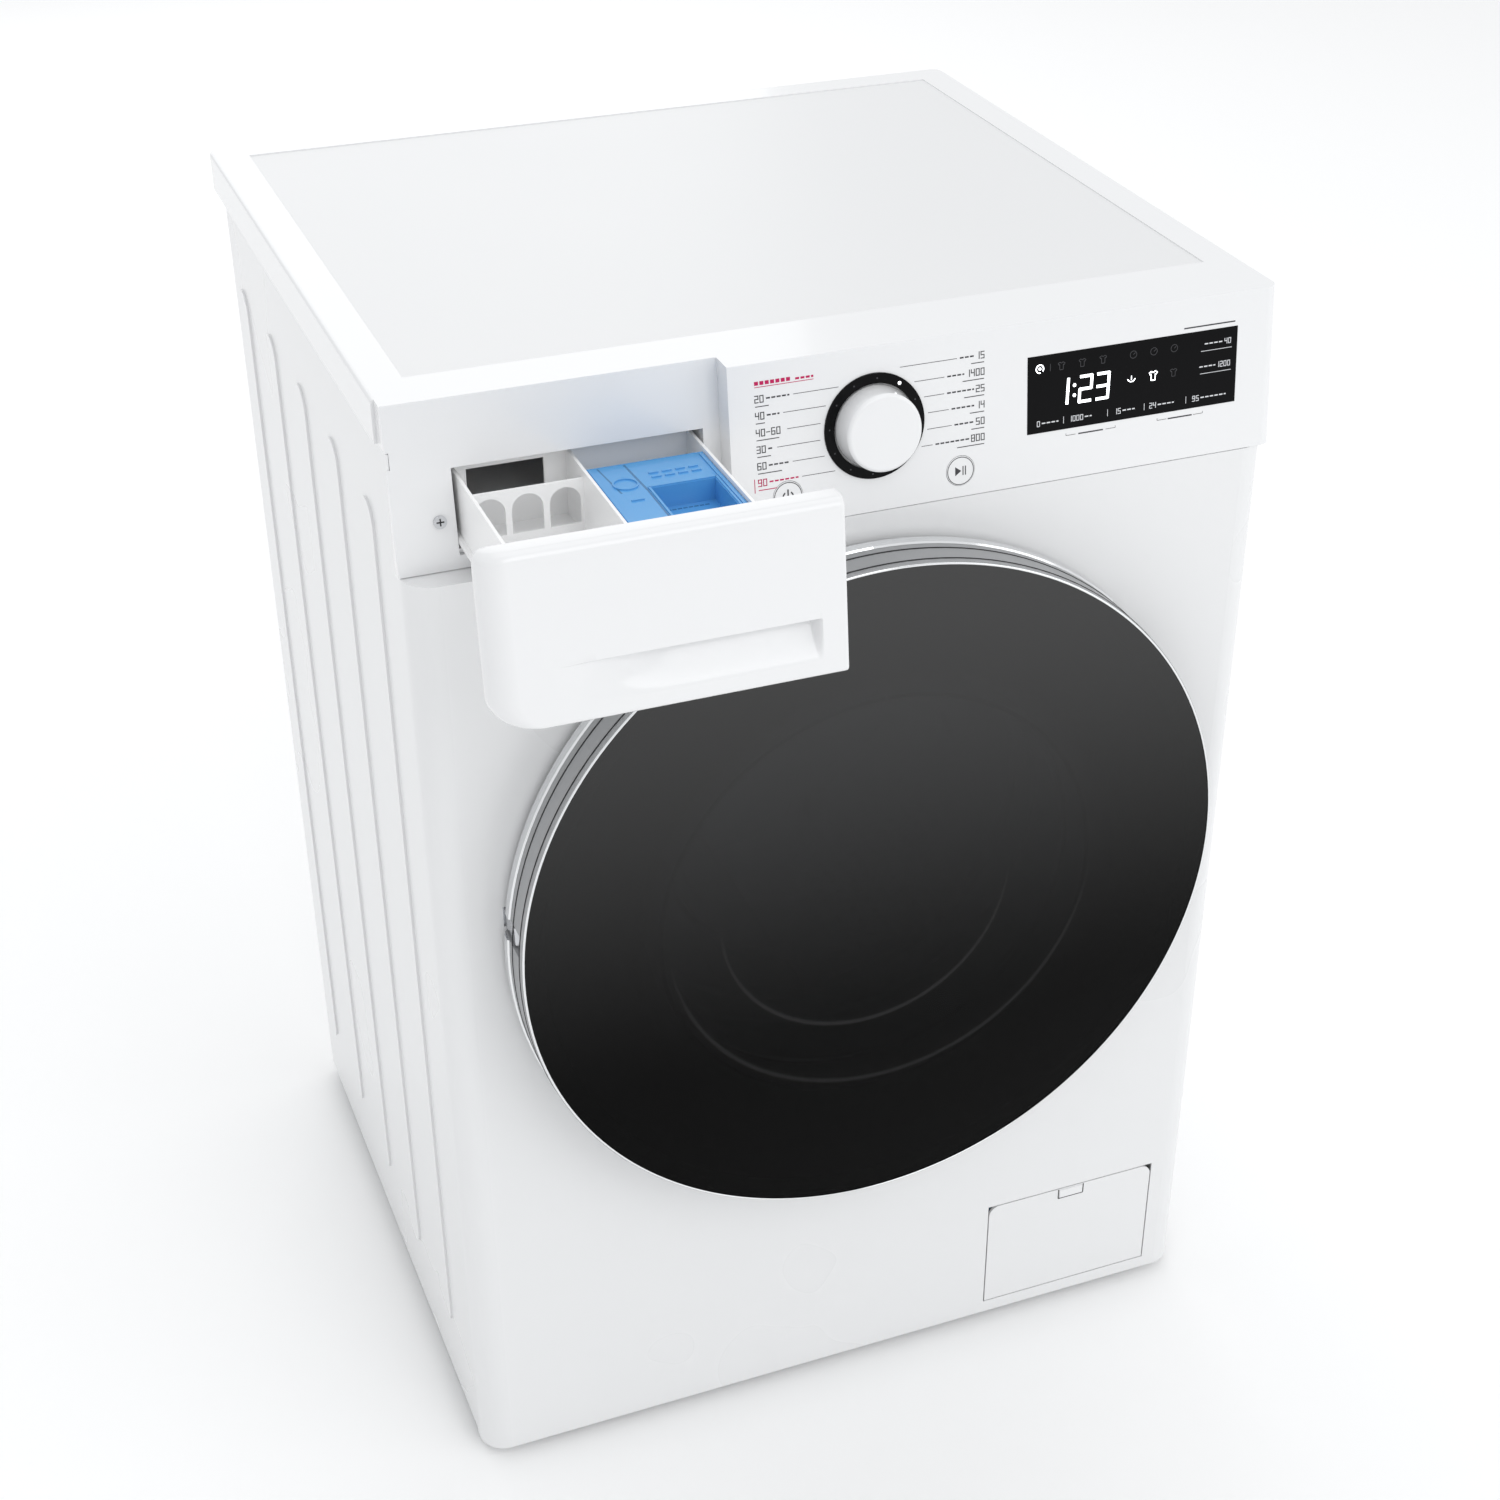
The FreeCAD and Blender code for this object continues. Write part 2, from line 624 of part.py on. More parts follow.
def control_board():
    """The circuit board and its parts, behind the display."""
    x1 = X_SIDE - DISPLAY_RIGHT
    x0 = x1 - DISPLAY_WIDTH
    plate = on_face(x0, x1, WALL + 4, WALL + 6, DISPLAY_LOW - 6, DISPLAY_LOW + DISPLAY_HEIGHT)
    lamp = on_face(x0 + 8, x1 - 8, WALL, WALL + 4, DISPLAY_LOW + 4, DISPLAY_LOW + 44)
    parts = on_face(x0 + 15, x0 + 60, WALL + 6, WALL + 14, DISPLAY_LOW + 2, DISPLAY_LOW + 30)
    return joined([plate, lamp, parts])


def knob_ring():
    """The flat ring round the knob."""
    x = X_FRONT_RIGHT + KNOB_X
    outer = stud_on_face(RING_R, x, KNOB_HEIGHT, -RING_PROUD, RING_DEPTH - RING_PROUD)
    return outer.cut(
        stud_on_face(RING_R - RING_WALL, x, KNOB_HEIGHT, -RING_PROUD - 1, RING_DEPTH + 1)
    )


def program_knob():
    """The programme knob and its shaft."""
    x = X_FRONT_RIGHT + KNOB_X
    front = V(*lean_point(x, KNOB_HEIGHT, -KNOB_PROUD))
    back = V(*lean_point(x, KNOB_HEIGHT, 1.0))
    cap = Part.makeCone(KNOB_TOP_R, KNOB_R, (back - front).Length, front, back - front)
    cap = cap.makeFillet(2.5, [e for e in cap.Edges if abs(e.Length - 2 * math.pi * KNOB_TOP_R) < 1])
    return joined([cap, stud_on_face(KNOB_SHAFT_R, x, KNOB_HEIGHT, 0.5, 11.0)])


def knob_encoder():
    """The switch block that holds the knob's shaft."""
    x = X_FRONT_RIGHT + KNOB_X
    block = on_face(x - 12, x + 12, WALL, WALL + 9, KNOB_HEIGHT - 12, KNOB_HEIGHT + 12)
    return block.cut(stud_on_face(KNOB_SHAFT_R + RUNNING_GAP, x, KNOB_HEIGHT, 0, 11.5))


def button(place):
    """A round push button with the flange that keeps it in the panel."""
    x, height = place
    back = WALL + 0.4
    return joined(
        [
            stud_on_face(BUTTON_R, x, height, -BUTTON_PROUD, back),
            stud_on_face(BUTTON_R + BUTTON_FLANGE, x, height, back, back + 1.0),
            stud_on_face(3.0, x, height, back + 1.0, back + 2.6),
        ]
    )


def button_board():
    """The two small switch boards on their legs behind the buttons."""
    made = []
    gap = BUTTON_TRAVEL + 0.3
    face = WALL + 0.4 + 2.6 + gap
    for x, height in button_places():
        plate = on_face(x - 16, x + 16, face, face + 1.6, height - 12, height + 12)
        legs = [
            stud_on_face(1.6, x + sx * 14, height + sz * 10, WALL, face)
            for sx in (-1, 1)
            for sz in (-1, 1)
        ]
        made.append(joined([plate] + legs))
    return group(made)


def drawer_front():
    """The drawer's front, rounded at its left side, with the scoop that fingers pull on."""
    z0, z1 = 2.5, CONTROL_HEIGHT - 1.0
    block = box(X_FRONT_LEFT, X_FRONT_RIGHT, Y_FACE, Y_FACE + FRONT_THICK, Z_SEAM + z0, Z_SEAM + z1)
    block = round_edges(
        block, FRONT_CORNER - 1, lambda m, d: abs(d.z) > 0.9 and m.x < X_FRONT_LEFT + 1 and m.y < Y_FACE + 1
    )
    block = round_edges(block, 3.0, lambda m, d: m.z > Z_SEAM + z1 - 0.1 and m.y < Y_FACE + 8)
    x1 = X_FRONT_RIGHT - GRIP_END
    scoop = prism_x(
        [
            (Y_FACE - 1, Z_SEAM + GRIP_LOW),
            (Y_FACE + GRIP_DEPTH, Z_SEAM + GRIP_HIGH - 4),
            (Y_FACE + GRIP_DEPTH, Z_SEAM + GRIP_HIGH),
            (Y_FACE - 1, Z_SEAM + GRIP_HIGH),
        ],
        x1 - GRIP_LENGTH,
        x1,
    )
    return pulled_out(lean(block.cut(scoop)))


def drawer_tray():
    """The tray: two compartments, runners along its sides and an outlet in its back wall."""
    w = TRAY_WALL
    tray = box(X_TRAY_LEFT, X_TRAY_RIGHT, Y_TRAY_FRONT, Y_TRAY_BACK, Z_TRAY, Z_TRAY_TOP)
    left = (X_TRAY_LEFT + w, X_PARTITION - w / 2)
    right = (X_PARTITION + w / 2, X_TRAY_RIGHT - w)
    y0 = Y_FACE + FRONT_THICK + 8.0
    for x0, x1 in (left, right):
        tray = tray.cut(box(x0, x1, y0, Y_TRAY_BACK - w, Z_TRAY + w, Z_TRAY_TOP + 1))
    tray = tray.cut(
        box(left[0] + 8, left[1] - 14, Y_TRAY_BACK - 5, Y_TRAY_BACK + 5, Z_TRAY_TOP - 26, Z_TRAY_TOP - 4)
    )
    tray = tray.cut(on_face(-WIDTH, WIDTH, -60, FRONT_THICK, -60, 200))
    reach = SLOT_GAP - SLIDE_GAP
    runners = []
    for x0, x1 in ((X_TRAY_LEFT - reach, X_TRAY_LEFT + 1), (X_TRAY_RIGHT - 1, X_TRAY_RIGHT + reach)):
        runners.append(box(x0, x1, Y_TRAY_BACK - 60, Y_TRAY_BACK, Z_TRAY + 4, Z_TRAY + 8))
    return pulled_out(joined([tray] + runners))


def tray_divider():
    """The arched divider across the main compartment."""
    x0 = X_TRAY_LEFT + TRAY_WALL
    x1 = X_PARTITION - TRAY_WALL / 2
    y = Y_TRAY_BACK - DIVIDER_SETBACK
    z0 = Z_TRAY + TRAY_WALL
    z1 = Z_TRAY_TOP - 5.0
    plate = box(x0, x1, y, y + 2.0, z0, z1)
    span = (x1 - x0) / 3
    for place in range(3):
        x = x0 + (place + 0.5) * span
        r = span / 2 - 2.0
        z = z1 - 4.0 - r
        plate = plate.cut(rod(r, (x, y - 1, z), (x, y + 3, z)))
        plate = plate.cut(box(x - r, x + r, y - 1, y + 3, z0 + 10, z))
    return pulled_out(plate)


def siphon_insert():
    """The lift-out insert over the softener compartment: a plate, two side walls and a channel."""
    x0 = X_PARTITION + TRAY_WALL / 2 + SIPHON_GAP
    x1 = X_TRAY_RIGHT - TRAY_WALL - SIPHON_GAP
    y0 = Y_FACE + FRONT_THICK + 8.0 + SIPHON_SETBACK
    y1 = y0 + SIPHON_LENGTH
    z0 = Z_TRAY + TRAY_WALL + SLIDE_GAP
    z1 = Z_TRAY_TOP - 3.0
    block = box(x0, x1, y0, y1, z0, z1)
    block = block.cut(box(x0 + 2, x1 - 2, y0 + 2, y1 - 2, z0 - 1, z1 - 2))
    a0, a1 = x0 + CUP_LEFT, x1 - CUP_RIGHT
    b0, b1 = y0 + CUP_SETBACK, y0 + CUP_SETBACK + CUP_LENGTH
    w = TRAY_WALL
    block = block.cut(box(a0, a1, b0, b1, z1 - CUP_DEPTH, z1 + 1))
    floor = box(a0 - w, a1 + w, b0 - w, b1 + w, z1 - CUP_DEPTH - w, z1 - CUP_DEPTH)
    rim = box(a0 - w, a1 + w, b0 - w, b1 + w, z1 - CUP_DEPTH - w, z1)
    rim = rim.cut(box(a0, a1, b0, b1, z1 - CUP_DEPTH - w - 1, z1 + 1))
    return pulled_out(joined([block, floor, rim]))


def dispenser_housing():
    """The housing that the tray runs in, with its spout."""
    x0 = X_TRAY_LEFT - SLOT_GAP
    x1 = X_TRAY_RIGHT + SLOT_GAP
    z0 = Z_TRAY - SLIDE_GAP
    z1 = Z_TRAY_TOP + 2 * SLOT_GAP
    w = HOUSING_WALL
    housing = box(x0 - w, x1 + w, Y_FACE, Y_HOUSING_BACK, z0 - w, z1 + w)
    housing = housing.cut(box(x0, x1, Y_FACE - 1, Y_HOUSING_BACK - w, z0, z1))
    housing = housing.cut(on_face(-WIDTH, WIDTH, -60, RECESS_DEPTH + WALL, -60, 200))
    y = Y_HOUSING_BACK - 26.0
    r = HOSE_R - HOSE_WALL - HOSE_GRIP
    spout = rod(r, (X_PARTITION, y, z0 - w - 8), (X_PARTITION, y, z0 - w + 0.5))
    hole = rod(r - HOSE_WALL, (X_PARTITION, y, z0 - w - 9), (X_PARTITION, y, z0 + 1))
    return joined([housing, spout]).cut(hole)


def dispenser_hose():
    """The hose from the housing's spout down to the tub."""
    y = Y_HOUSING_BACK - 26.0
    z1 = Z_TRAY - SLIDE_GAP - HOUSING_WALL
    return outside_tub(tube(HOSE_R, HOSE_R - HOSE_WALL, (X_PARTITION, y, AXIS_Z), (X_PARTITION, y, z1)))


def water_valve():
    """The inlet valve, with its threaded nose out of the back."""
    y = Y_CAB_BACK - SHEET
    body = box(INLET_X - 20, INLET_X + 20, y - 44, y, INLET_Z - 20, INLET_Z + 20)
    nose = along_y(INLET_R, y - 1, Y_CAB_BACK + INLET_LENGTH, INLET_X, INLET_Z)
    bore = along_y(8.0, Y_CAB_BACK + 4, Y_CAB_BACK + INLET_LENGTH + 1, INLET_X, INLET_Z)
    coil = rod(13, (INLET_X, y - 26, INLET_Z - 38), (INLET_X, y - 26, INLET_Z - 19))
    return joined([body, nose, coil]).cut(bore)


def fill_hose():
    """The hose from the valve to the dispenser housing."""
    start = (INLET_X, Y_HOUSING_BACK, INLET_Z + 8)
    end = (INLET_X, Y_CAB_BACK - SHEET - 44, INLET_Z + 8)
    return tube(7.0, 5.0, start, end)


def tub_front():
    """The tub's front half: mouth, front wall and a stiff flange at its joint."""
    w = TUB_WALL
    r = TUB_R
    return turned(
        [
            (TUB_NECK_R - w, Y_TUB_FRONT - TUB_NECK),
            (TUB_NECK_R, Y_TUB_FRONT - TUB_NECK),
            (TUB_NECK_R, Y_TUB_FRONT),
            (r, Y_TUB_FRONT),
            (r, TUB_JOINT_Y - 6),
            (r + TUB_FLANGE, TUB_JOINT_Y - 6),
            (r + TUB_FLANGE, TUB_JOINT_Y),
            (r - w, TUB_JOINT_Y),
            (r - w, Y_TUB_FRONT + w),
            (TUB_NECK_R - w, Y_TUB_FRONT + w),
        ]
    )


def tub_rear():
    """The tub's back half, with the hub that holds both bearings."""
    w = TUB_WALL
    r = TUB_R
    shell = turned(
        [
            (r - w, TUB_JOINT_Y),
            (r + TUB_FLANGE, TUB_JOINT_Y),
            (r + TUB_FLANGE, TUB_JOINT_Y + 6),
            (r, TUB_JOINT_Y + 6),
            (r, Y_TUB_BACK),
            (HUB_R, Y_TUB_BACK),
            (HUB_R, Y_HUB_BACK),
            (BEARING_R, Y_HUB_BACK),
            (BEARING_R, Y_HUB_FRONT),
            (HUB_R, Y_HUB_FRONT),
            (HUB_R, Y_TUB_BACK - w),
            (r - w, Y_TUB_BACK - w),
        ]
    )
    ribs = []
    for place in range(12):
        rib = box(-2, 2, Y_TUB_BACK - 0.5, Y_TUB_BACK + 2.0, AXIS_Z + HUB_R - 1, AXIS_Z + r - 8)
        rib.rotate(V(0, 0, AXIS_Z), V(0, 1, 0), place * 30.0 + 15.0)
        ribs.append(rib)
    return joined([shell] + ribs)


def front_weight():
    """Two curved concrete weights on the tub's front wall, one above and one below the mouth."""
    y0 = Y_TUB_FRONT - WEIGHT_THICK
    ring = turned(
        [
            (WEIGHT_INNER_R, y0),
            (WEIGHT_OUTER_R, y0),
            (WEIGHT_OUTER_R, Y_TUB_FRONT),
            (WEIGHT_INNER_R, Y_TUB_FRONT),
        ]
    )
    z0, z1 = AXIS_Z - 60, AXIS_Z + 60
    ring = ring.cut(box(-WIDTH, WIDTH, y0 - 1, Y_TUB_FRONT + 1, z0, z1))
    return group(ring.Solids)


def door_seal():
    """The rubber bellows between the front panel's mouth and the tub's neck."""
    bead = MOUTH_R - 0.3
    neck = TUB_NECK_R + 0.2
    y = Y_FACE
    back = Y_TUB_FRONT - 6.0
    return turned(
        [
            (bead - 9, y + 2),
            (bead, y + 2),
            (bead, y + 8),
            (bead - 7, y + 8),
            (bead - 12, y + 18),
            (bead - 11, y + 25),
            (neck + 5, y + 33),
            (neck + 5, back),
            (neck, back),
            (neck, y + 40),
            (bead - 15, y + 28),
            (bead - 16, y + 17),
            (bead - 12.5, y + 7),
        ]
    )


def springs():
    """The two springs that hang the tub from the top brace."""
    z1 = Z_CAB_TOP - 16.0
    made = []
    for x in (-SPRING_X, SPRING_X):
        coil = rod(SPRING_R, (x, SPRING_Y, AXIS_Z), (x, SPRING_Y, z1))
        made.append(outside_tub(coil))
    return group(made)


def damper_height():
    """Where a damper's tube ends and its rod goes on."""
    top = AXIS_Z - math.sqrt(TUB_R**2 - DAMPER_X**2)
    return Z_BASE + (top - Z_BASE) * DAMPER_SPLIT


def damper_tubes():
    """The lower halves of the two dampers, standing on the base pan."""
    z = damper_height()
    made = []
    for x in (-DAMPER_X, DAMPER_X):
        body = rod(DAMPER_R, (x, DAMPER_Y, Z_BASE), (x, DAMPER_Y, z))
        made.append(body.cut(rod(DAMPER_ROD_R, (x, DAMPER_Y, z - 40), (x, DAMPER_Y, z + 1))))
    return group(made)


def damper_rods():
    """The rods that run from the dampers up to the tub."""
    z = damper_height()
    made = []
    for x in (-DAMPER_X, DAMPER_X):
        shaft = rod(DAMPER_ROD_R - RUNNING_GAP, (x, DAMPER_Y, z - 40), (x, DAMPER_Y, AXIS_Z))
        made.append(outside_tub(shaft))
    return group(made)


def drum():
    """The drum's skin: front with its rolled mouth, round wall and back."""
    w = DRUM_WALL
    r = DRUM_R
    m = DRUM_MOUTH_R
    y0, y1 = Y_DRUM_FRONT, Y_DRUM_BACK
    shell = turned(
        [
            (m, y0),
            (r, y0),
            (r, y1),
            (SHAFT_R + 4, y1),
            (SHAFT_R + 4, y1 - w),
            (r - w, y1 - w),
            (r - w, y0 + w),
            (m + w, y0 + w),
            (m + w, y0 + 8),
            (m, y0 + 8),
        ]
    )
    return shell


def lifters():
    """Three paddles inside the drum, evenly spaced."""
    r = DRUM_R - DRUM_WALL - 0.1
    middle = (Y_DRUM_FRONT + Y_DRUM_BACK) / 2
    y0, y1 = middle - LIFTER_LENGTH / 2, middle + LIFTER_LENGTH / 2
    low = AXIS_Z - DRUM_R - 2
    top = AXIS_Z - DRUM_R + LIFTER_HEIGHT
    half = LIFTER_WIDTH / 2
    outline = [(-half, low), (half, low), (half * 0.45, top), (-half * 0.45, top)]
    points = [V(x, y0, z) for x, z in outline]
    wedge = Part.Face(Part.makePolygon(points + points[:1])).extrude(V(0, y1 - y0, 0))
    wedge = round_edges(wedge, 9.0, lambda m, d: m.z > top - 1 and abs(d.y) > 0.9)
    wedge = wedge.common(along_y(r, y0, y1))
    made = []
    for place in range(LIFTER_COUNT):
        paddle = wedge.copy()
        paddle.rotate(V(0, 0, AXIS_Z), V(0, 1, 0), place * 360.0 / LIFTER_COUNT)
        made.append(paddle)
    return group(made)


def spider():
    """The three-armed casting that carries the drum on its shaft."""
    y0, y1 = Y_DRUM_BACK, Y_HUB_FRONT - 3.0
    arms = [along_y(34.0, y0, y1)]
    for place in range(3):
        arm = box(-19, 19, y0, y1 - 4, AXIS_Z, AXIS_Z + DRUM_R - 6)
        arm.rotate(V(0, 0, AXIS_Z), V(0, 1, 0), place * 120.0)
        arms.append(arm)
    return joined(arms).cut(along_y(SHAFT_R, y0 - 1, y1 + 1))


def drum_shaft():
    """The shaft from the spider through both bearings to the rotor."""
    return along_y(SHAFT_R - RUNNING_GAP, Y_DRUM_BACK - 4, Y_CAB_BACK - 10)


def bearings():
    """The two ball bearings in the tub's hub."""
    made = []
    for y in (Y_HUB_FRONT + 1, Y_HUB_BACK - BEARING_WIDTH - 1):
        outer = along_y(BEARING_R - 0.02, y, y + BEARING_WIDTH)
        made.append(outer.cut(along_y(SHAFT_R, y - 1, y + BEARING_WIDTH + 1)))
    return group(made)


def stator():
    """The motor's fixed ring, on the back of the tub."""
    y0 = Y_TUB_BACK + 2.0
    ring = along_y(STATOR_R - 14, y0, y0 + 18).cut(along_y(HUB_R + 0.3, y0 - 1, y0 + 20))
    teeth = []
    for place in range(18):
        tooth = box(-7, 7, y0 + 2, y0 + 16, AXIS_Z + STATOR_R - 16, AXIS_Z + STATOR_R)
        tooth.rotate(V(0, 0, AXIS_Z), V(0, 1, 0), place * 20.0)
        teeth.append(tooth)
    return joined([ring] + teeth)


def rotor():
    """The motor's turning cup, with its magnets round the stator."""
    y0 = Y_TUB_BACK + 5.0
    y1 = y0 + 40.0
    inner = STATOR_R + 2.0
    cup = turned(
        [
            (inner, y0),
            (inner + MAGNET_WALL, y0),
            (inner + MAGNET_WALL, y1),
            (SHAFT_R, y1),
            (SHAFT_R, y1 - 5),
            (inner, y1 - 5),
        ]
    )
    rim = turned([(inner + 6, y0), (ROTOR_R, y0), (ROTOR_R, y0 + 3), (inner + 6, y0 + 3)])
    return joined([cup, rim])


def heater():
    """The heating rod in the gap under the drum."""
    r = (TUB_R - TUB_WALL + DRUM_R) / 2
    z = AXIS_Z - r
    y1 = Y_TUB_BACK - TUB_WALL
    legs = [rod(3.5, (x, y1 - 130, z + 1), (x, y1, z + 1)) for x in (-22, 22)]
    bend = rod(3.5, (-22, y1 - 130, z + 1), (22, y1 - 130, z + 1))
    return joined(legs + [bend])


def pump_housing():
    """The pump's barrel behind the filter, with its inlet, outlet and foot."""
    y0, y1 = Y_BAY_BACK, Y_PUMP_BACK
    x, z = FILTER_X, FILTER_Z
    inner = PUMP_R - PUMP_WALL
    barrel = along_y(PUMP_R, y0, y1, x, z)
    inlet_y = y0 + SUMP_SETBACK
    parts = [barrel]
    spigot_r = HOSE_R - HOSE_WALL - HOSE_GRIP
    parts.append(rod(spigot_r, (x, inlet_y, z), (x, inlet_y, z + PUMP_R + 14)))
    parts.append(rod(8, (x, y1 - 14, z), (PIPE_X, y1 - 14, z)))
    parts.append(box(x - 14, x + 14, y0 + 20, y1 - 8, Z_BASE, z - PUMP_R + 6))
    body = joined(parts)
    body = body.cut(along_y(inner, y0 - 1, y1 - PUMP_WALL, x, z))
    body = body.cut(along_y(PIPE_R + HOSE_GRIP, y0, y1 + 1, PIPE_X, z))
    body = body.cut(along_y(IMPELLER_SHAFT_R + RUNNING_GAP, y1 - 5, y1 + 1, x, z))
    return body.cut(rod(spigot_r - HOSE_WALL, (x, inlet_y, z), (x, inlet_y, z + PUMP_R + 15)))


def pump_motor():
    """The pump's motor, on the back of the barrel."""
    return along_y(PUMP_R - 2, Y_PUMP_BACK, Y_PUMP_BACK + 52, FILTER_X, FILTER_Z).cut(
        along_y(
            IMPELLER_SHAFT_R + RUNNING_GAP, Y_PUMP_BACK - 1, Y_PUMP_BACK + 30, FILTER_X, FILTER_Z
        )
    )


def pump_impeller():
    """The impeller and its shaft."""
    y = Y_PUMP_BACK - PUMP_WALL
    x, z = FILTER_X, FILTER_Z
    parts = [along_y(7, y - 16, y - 1, x, z), along_y(IMPELLER_SHAFT_R, y - 2, y + 28, x, z)]
    for place in range(4):
        blade = box(x, x + 20, y - 14, y - 2, z - 1, z + 1)
        blade.rotate(V(x, 0, z), V(0, 1, 0), place * 90.0)
        parts.append(blade)
    return joined(parts)


def drain_filter():
    """The filter's cap with its grip bar, and the basket behind it."""
    x, z = FILTER_X, FILTER_Z
    y = Y_BAY_BACK - BAY_WALL
    cap = along_y(FILTER_CAP_R, y - 14, y - 0.3, x, z)
    bar = box(x - 26, x + 26, y - 24, y - 13, z - 4, z + 4)
    plug = along_y(FILTER_R, y - 1, y + 8, x, z)
    basket = along_y(FILTER_R - 4, y + 7, y + 40, x, z)
    basket = basket.cut(along_y(FILTER_R - 6, y + 10, y + 41, x, z))
    return joined([cap, bar, plug, basket])


def sump_hose():
    """The hose from the tub's lowest outlet down to the pump."""
    y = Y_BAY_BACK + SUMP_SETBACK
    z0 = FILTER_Z + PUMP_R + 2
    return outside_tub(tube(HOSE_R, HOSE_R - HOSE_WALL, (FILTER_X, y, z0), (FILTER_X, y, AXIS_Z)))


def drain_pipe():
    """The pipe from the pump to the spigot at the back, where a drain hose pushes on."""
    x, z = PIPE_X, FILTER_Z
    pipe = along_y(PIPE_R, Y_PUMP_BACK - 24, Y_CAB_BACK + 1, x, z)
    flange = along_y(16.0, Y_CAB_BACK, Y_CAB_BACK + 3, x, z)
    spigot = along_y(SPIGOT_R, Y_CAB_BACK + 3, Y_CAB_BACK + 3 + SPIGOT_LENGTH, x, z)
    bore = along_y(7.0, Y_PUMP_BACK - 4, Y_CAB_BACK + 4 + SPIGOT_LENGTH, x, z)
    return joined([pipe, flange, spigot]).cut(bore)


def filter_bay():
    """The plastic box behind the service flap."""
    x0, x1 = X_FLAP_LEFT - BAY_MARGIN, X_FLAP_RIGHT + BAY_MARGIN
    z0, z1 = FLAP_LOW - BAY_MARGIN, Z_FLAP_TOP + BAY_MARGIN
    w = BAY_WALL
    bay = box(x0, x1, Y_FACE_IN, Y_BAY_BACK, z0, z1)
    bay = bay.cut(box(x0 + w, x1 - w, Y_FACE_IN - 1, Y_BAY_BACK - w, z0 + w, z1 - w))
    bay = bay.cut(along_y(FILTER_R + 0.3, Y_BAY_BACK - 5, Y_BAY_BACK + 5, FILTER_X, FILTER_Z))
    hole_r = FLAP_PIN_R + RUNNING_GAP
    return bay.cut(rod(hole_r, (x0 - 1, FLAP_PIN_Y, FLAP_PIN_Z), (x1 + 1, FLAP_PIN_Y, FLAP_PIN_Z)))


def service_flap():
    """The flap over the filter, with the ears and pins that it turns on."""
    x0, x1 = X_FLAP_LEFT, X_FLAP_RIGHT
    plate = box(x0, x1, Y_FACE, Y_FACE + FLAP_THICK, FLAP_LOW, Z_FLAP_TOP)
    plate = round_edges(plate, 9.0, lambda m, d: abs(d.y) > 0.9 and m.z > Z_FLAP_TOP - 1)
    y, z = FLAP_PIN_Y, FLAP_PIN_Z
    parts = [plate]
    for side, edge in ((-1, x0), (1, x1)):
        ear = sorted((edge, edge - side * 3.0))
        parts.append(box(ear[0], ear[1], Y_FACE + 1, y + 3, z - 4, z + 4))
        parts.append(rod(FLAP_PIN_R, (edge - side * 2.0, y, z), (edge + side * BAY_MARGIN, y, z)))
    return joined(parts)


def cord_gland():
    """The bush in the back that the mains lead goes through."""
    y0, y1 = Y_CAB_BACK - 8, Y_CAB_BACK + 8
    sleeve = along_y(CORD_HOLE_R + 3.7, y0, y1, CORD_X, INLET_Z)
    collar = along_y(CORD_HOLE_R + 7, Y_CAB_BACK, Y_CAB_BACK + 3, CORD_X, INLET_Z)
    return joined([sleeve, collar]).cut(
        along_y(CORD_HOLE_R, y0 - 1, y1 + 1, CORD_X, INLET_Z)
    )


def transit_caps():
    """The caps in the four transit bolt holes."""
    made = []
    for x, z in transit_places():
        head = along_y(TRANSIT_HOLE_R + 5, Y_CAB_BACK, Y_CAB_BACK + 3, x, z)
        plug = along_y(TRANSIT_HOLE_R - 0.2, Y_CAB_BACK - 6, Y_CAB_BACK + 1, x, z)
        made.append(joined([head, plug]))
    return group(made)


def hinge_slot():
    """The gap in the door's left rim that the hinge arm needs as the door turns."""
    z = AXIS_Z + HINGE_ARM_Z
    half = HINGE_ARM_HALF + HINGE_SLOT_GAP
    y0, y1 = Y_DOOR_FRONT + GLASS_THICK + 0.5, Y_DOOR_BACK + 1
    return box(-DOOR_R - 5, HINGE_X + 6, y0, y1, z - half, z + half)


def pin_span():
    """The lower and upper ends of the door's hinge pin."""
    low = (HINGE_X, HINGE_Y, AXIS_Z + HINGE_PIN_LOW)
    high = (HINGE_X, HINGE_Y, AXIS_Z + HINGE_PIN_HIGH)
    return low, high


def grip_notch():
    """The hollow at the right of the door's back where fingers pull it."""
    ring = turned(
        [
            (DOOR_R - 9, Y_DOOR_BACK - 15),
            (DOOR_R + 5, Y_DOOR_BACK - 15),
            (DOOR_R + 5, Y_DOOR_BACK + 1),
            (DOOR_R - 9, Y_DOOR_BACK + 1),
        ]
    )
    reach = 2 * DOOR_R
    rise = reach * math.tan(math.radians(GRIP_HALF_ANGLE))
    points = [V(0, Y_DOOR_BACK - 40, AXIS_Z), V(reach, Y_DOOR_BACK - 40, AXIS_Z - rise)]
    points.append(V(reach, Y_DOOR_BACK - 40, AXIS_Z + rise))
    wedge = Part.Face(Part.makePolygon(points + points[:1])).extrude(V(0, 60, 0))
    return ring.common(wedge)


def door_bezel():
    """The ring round the door: it holds the glass, the hinge pin and the finger grip."""
    r = DOOR_R
    b, f = Y_DOOR_BACK, Y_DOOR_FRONT
    lip = r - GLASS_LIP
    seat = Y_GLASS_BACK
    ring = turned(
        [
            (r - 3, b),
            (r, b - 3.5),
            (r, f + 1),
            (r - 1, f),
            (lip, f),
            (lip, seat),
            (r - 17, seat),
            (r - 17, seat + 4),
            (r - BEZEL_WALL, seat + 4),
            (r - BEZEL_WALL, b),
        ]
    )
    ring = ring.cut(hinge_slot())
    ring = ring.cut(rod(HINGE_PIN_R, *pin_span()))
    return ring.cut(grip_notch())


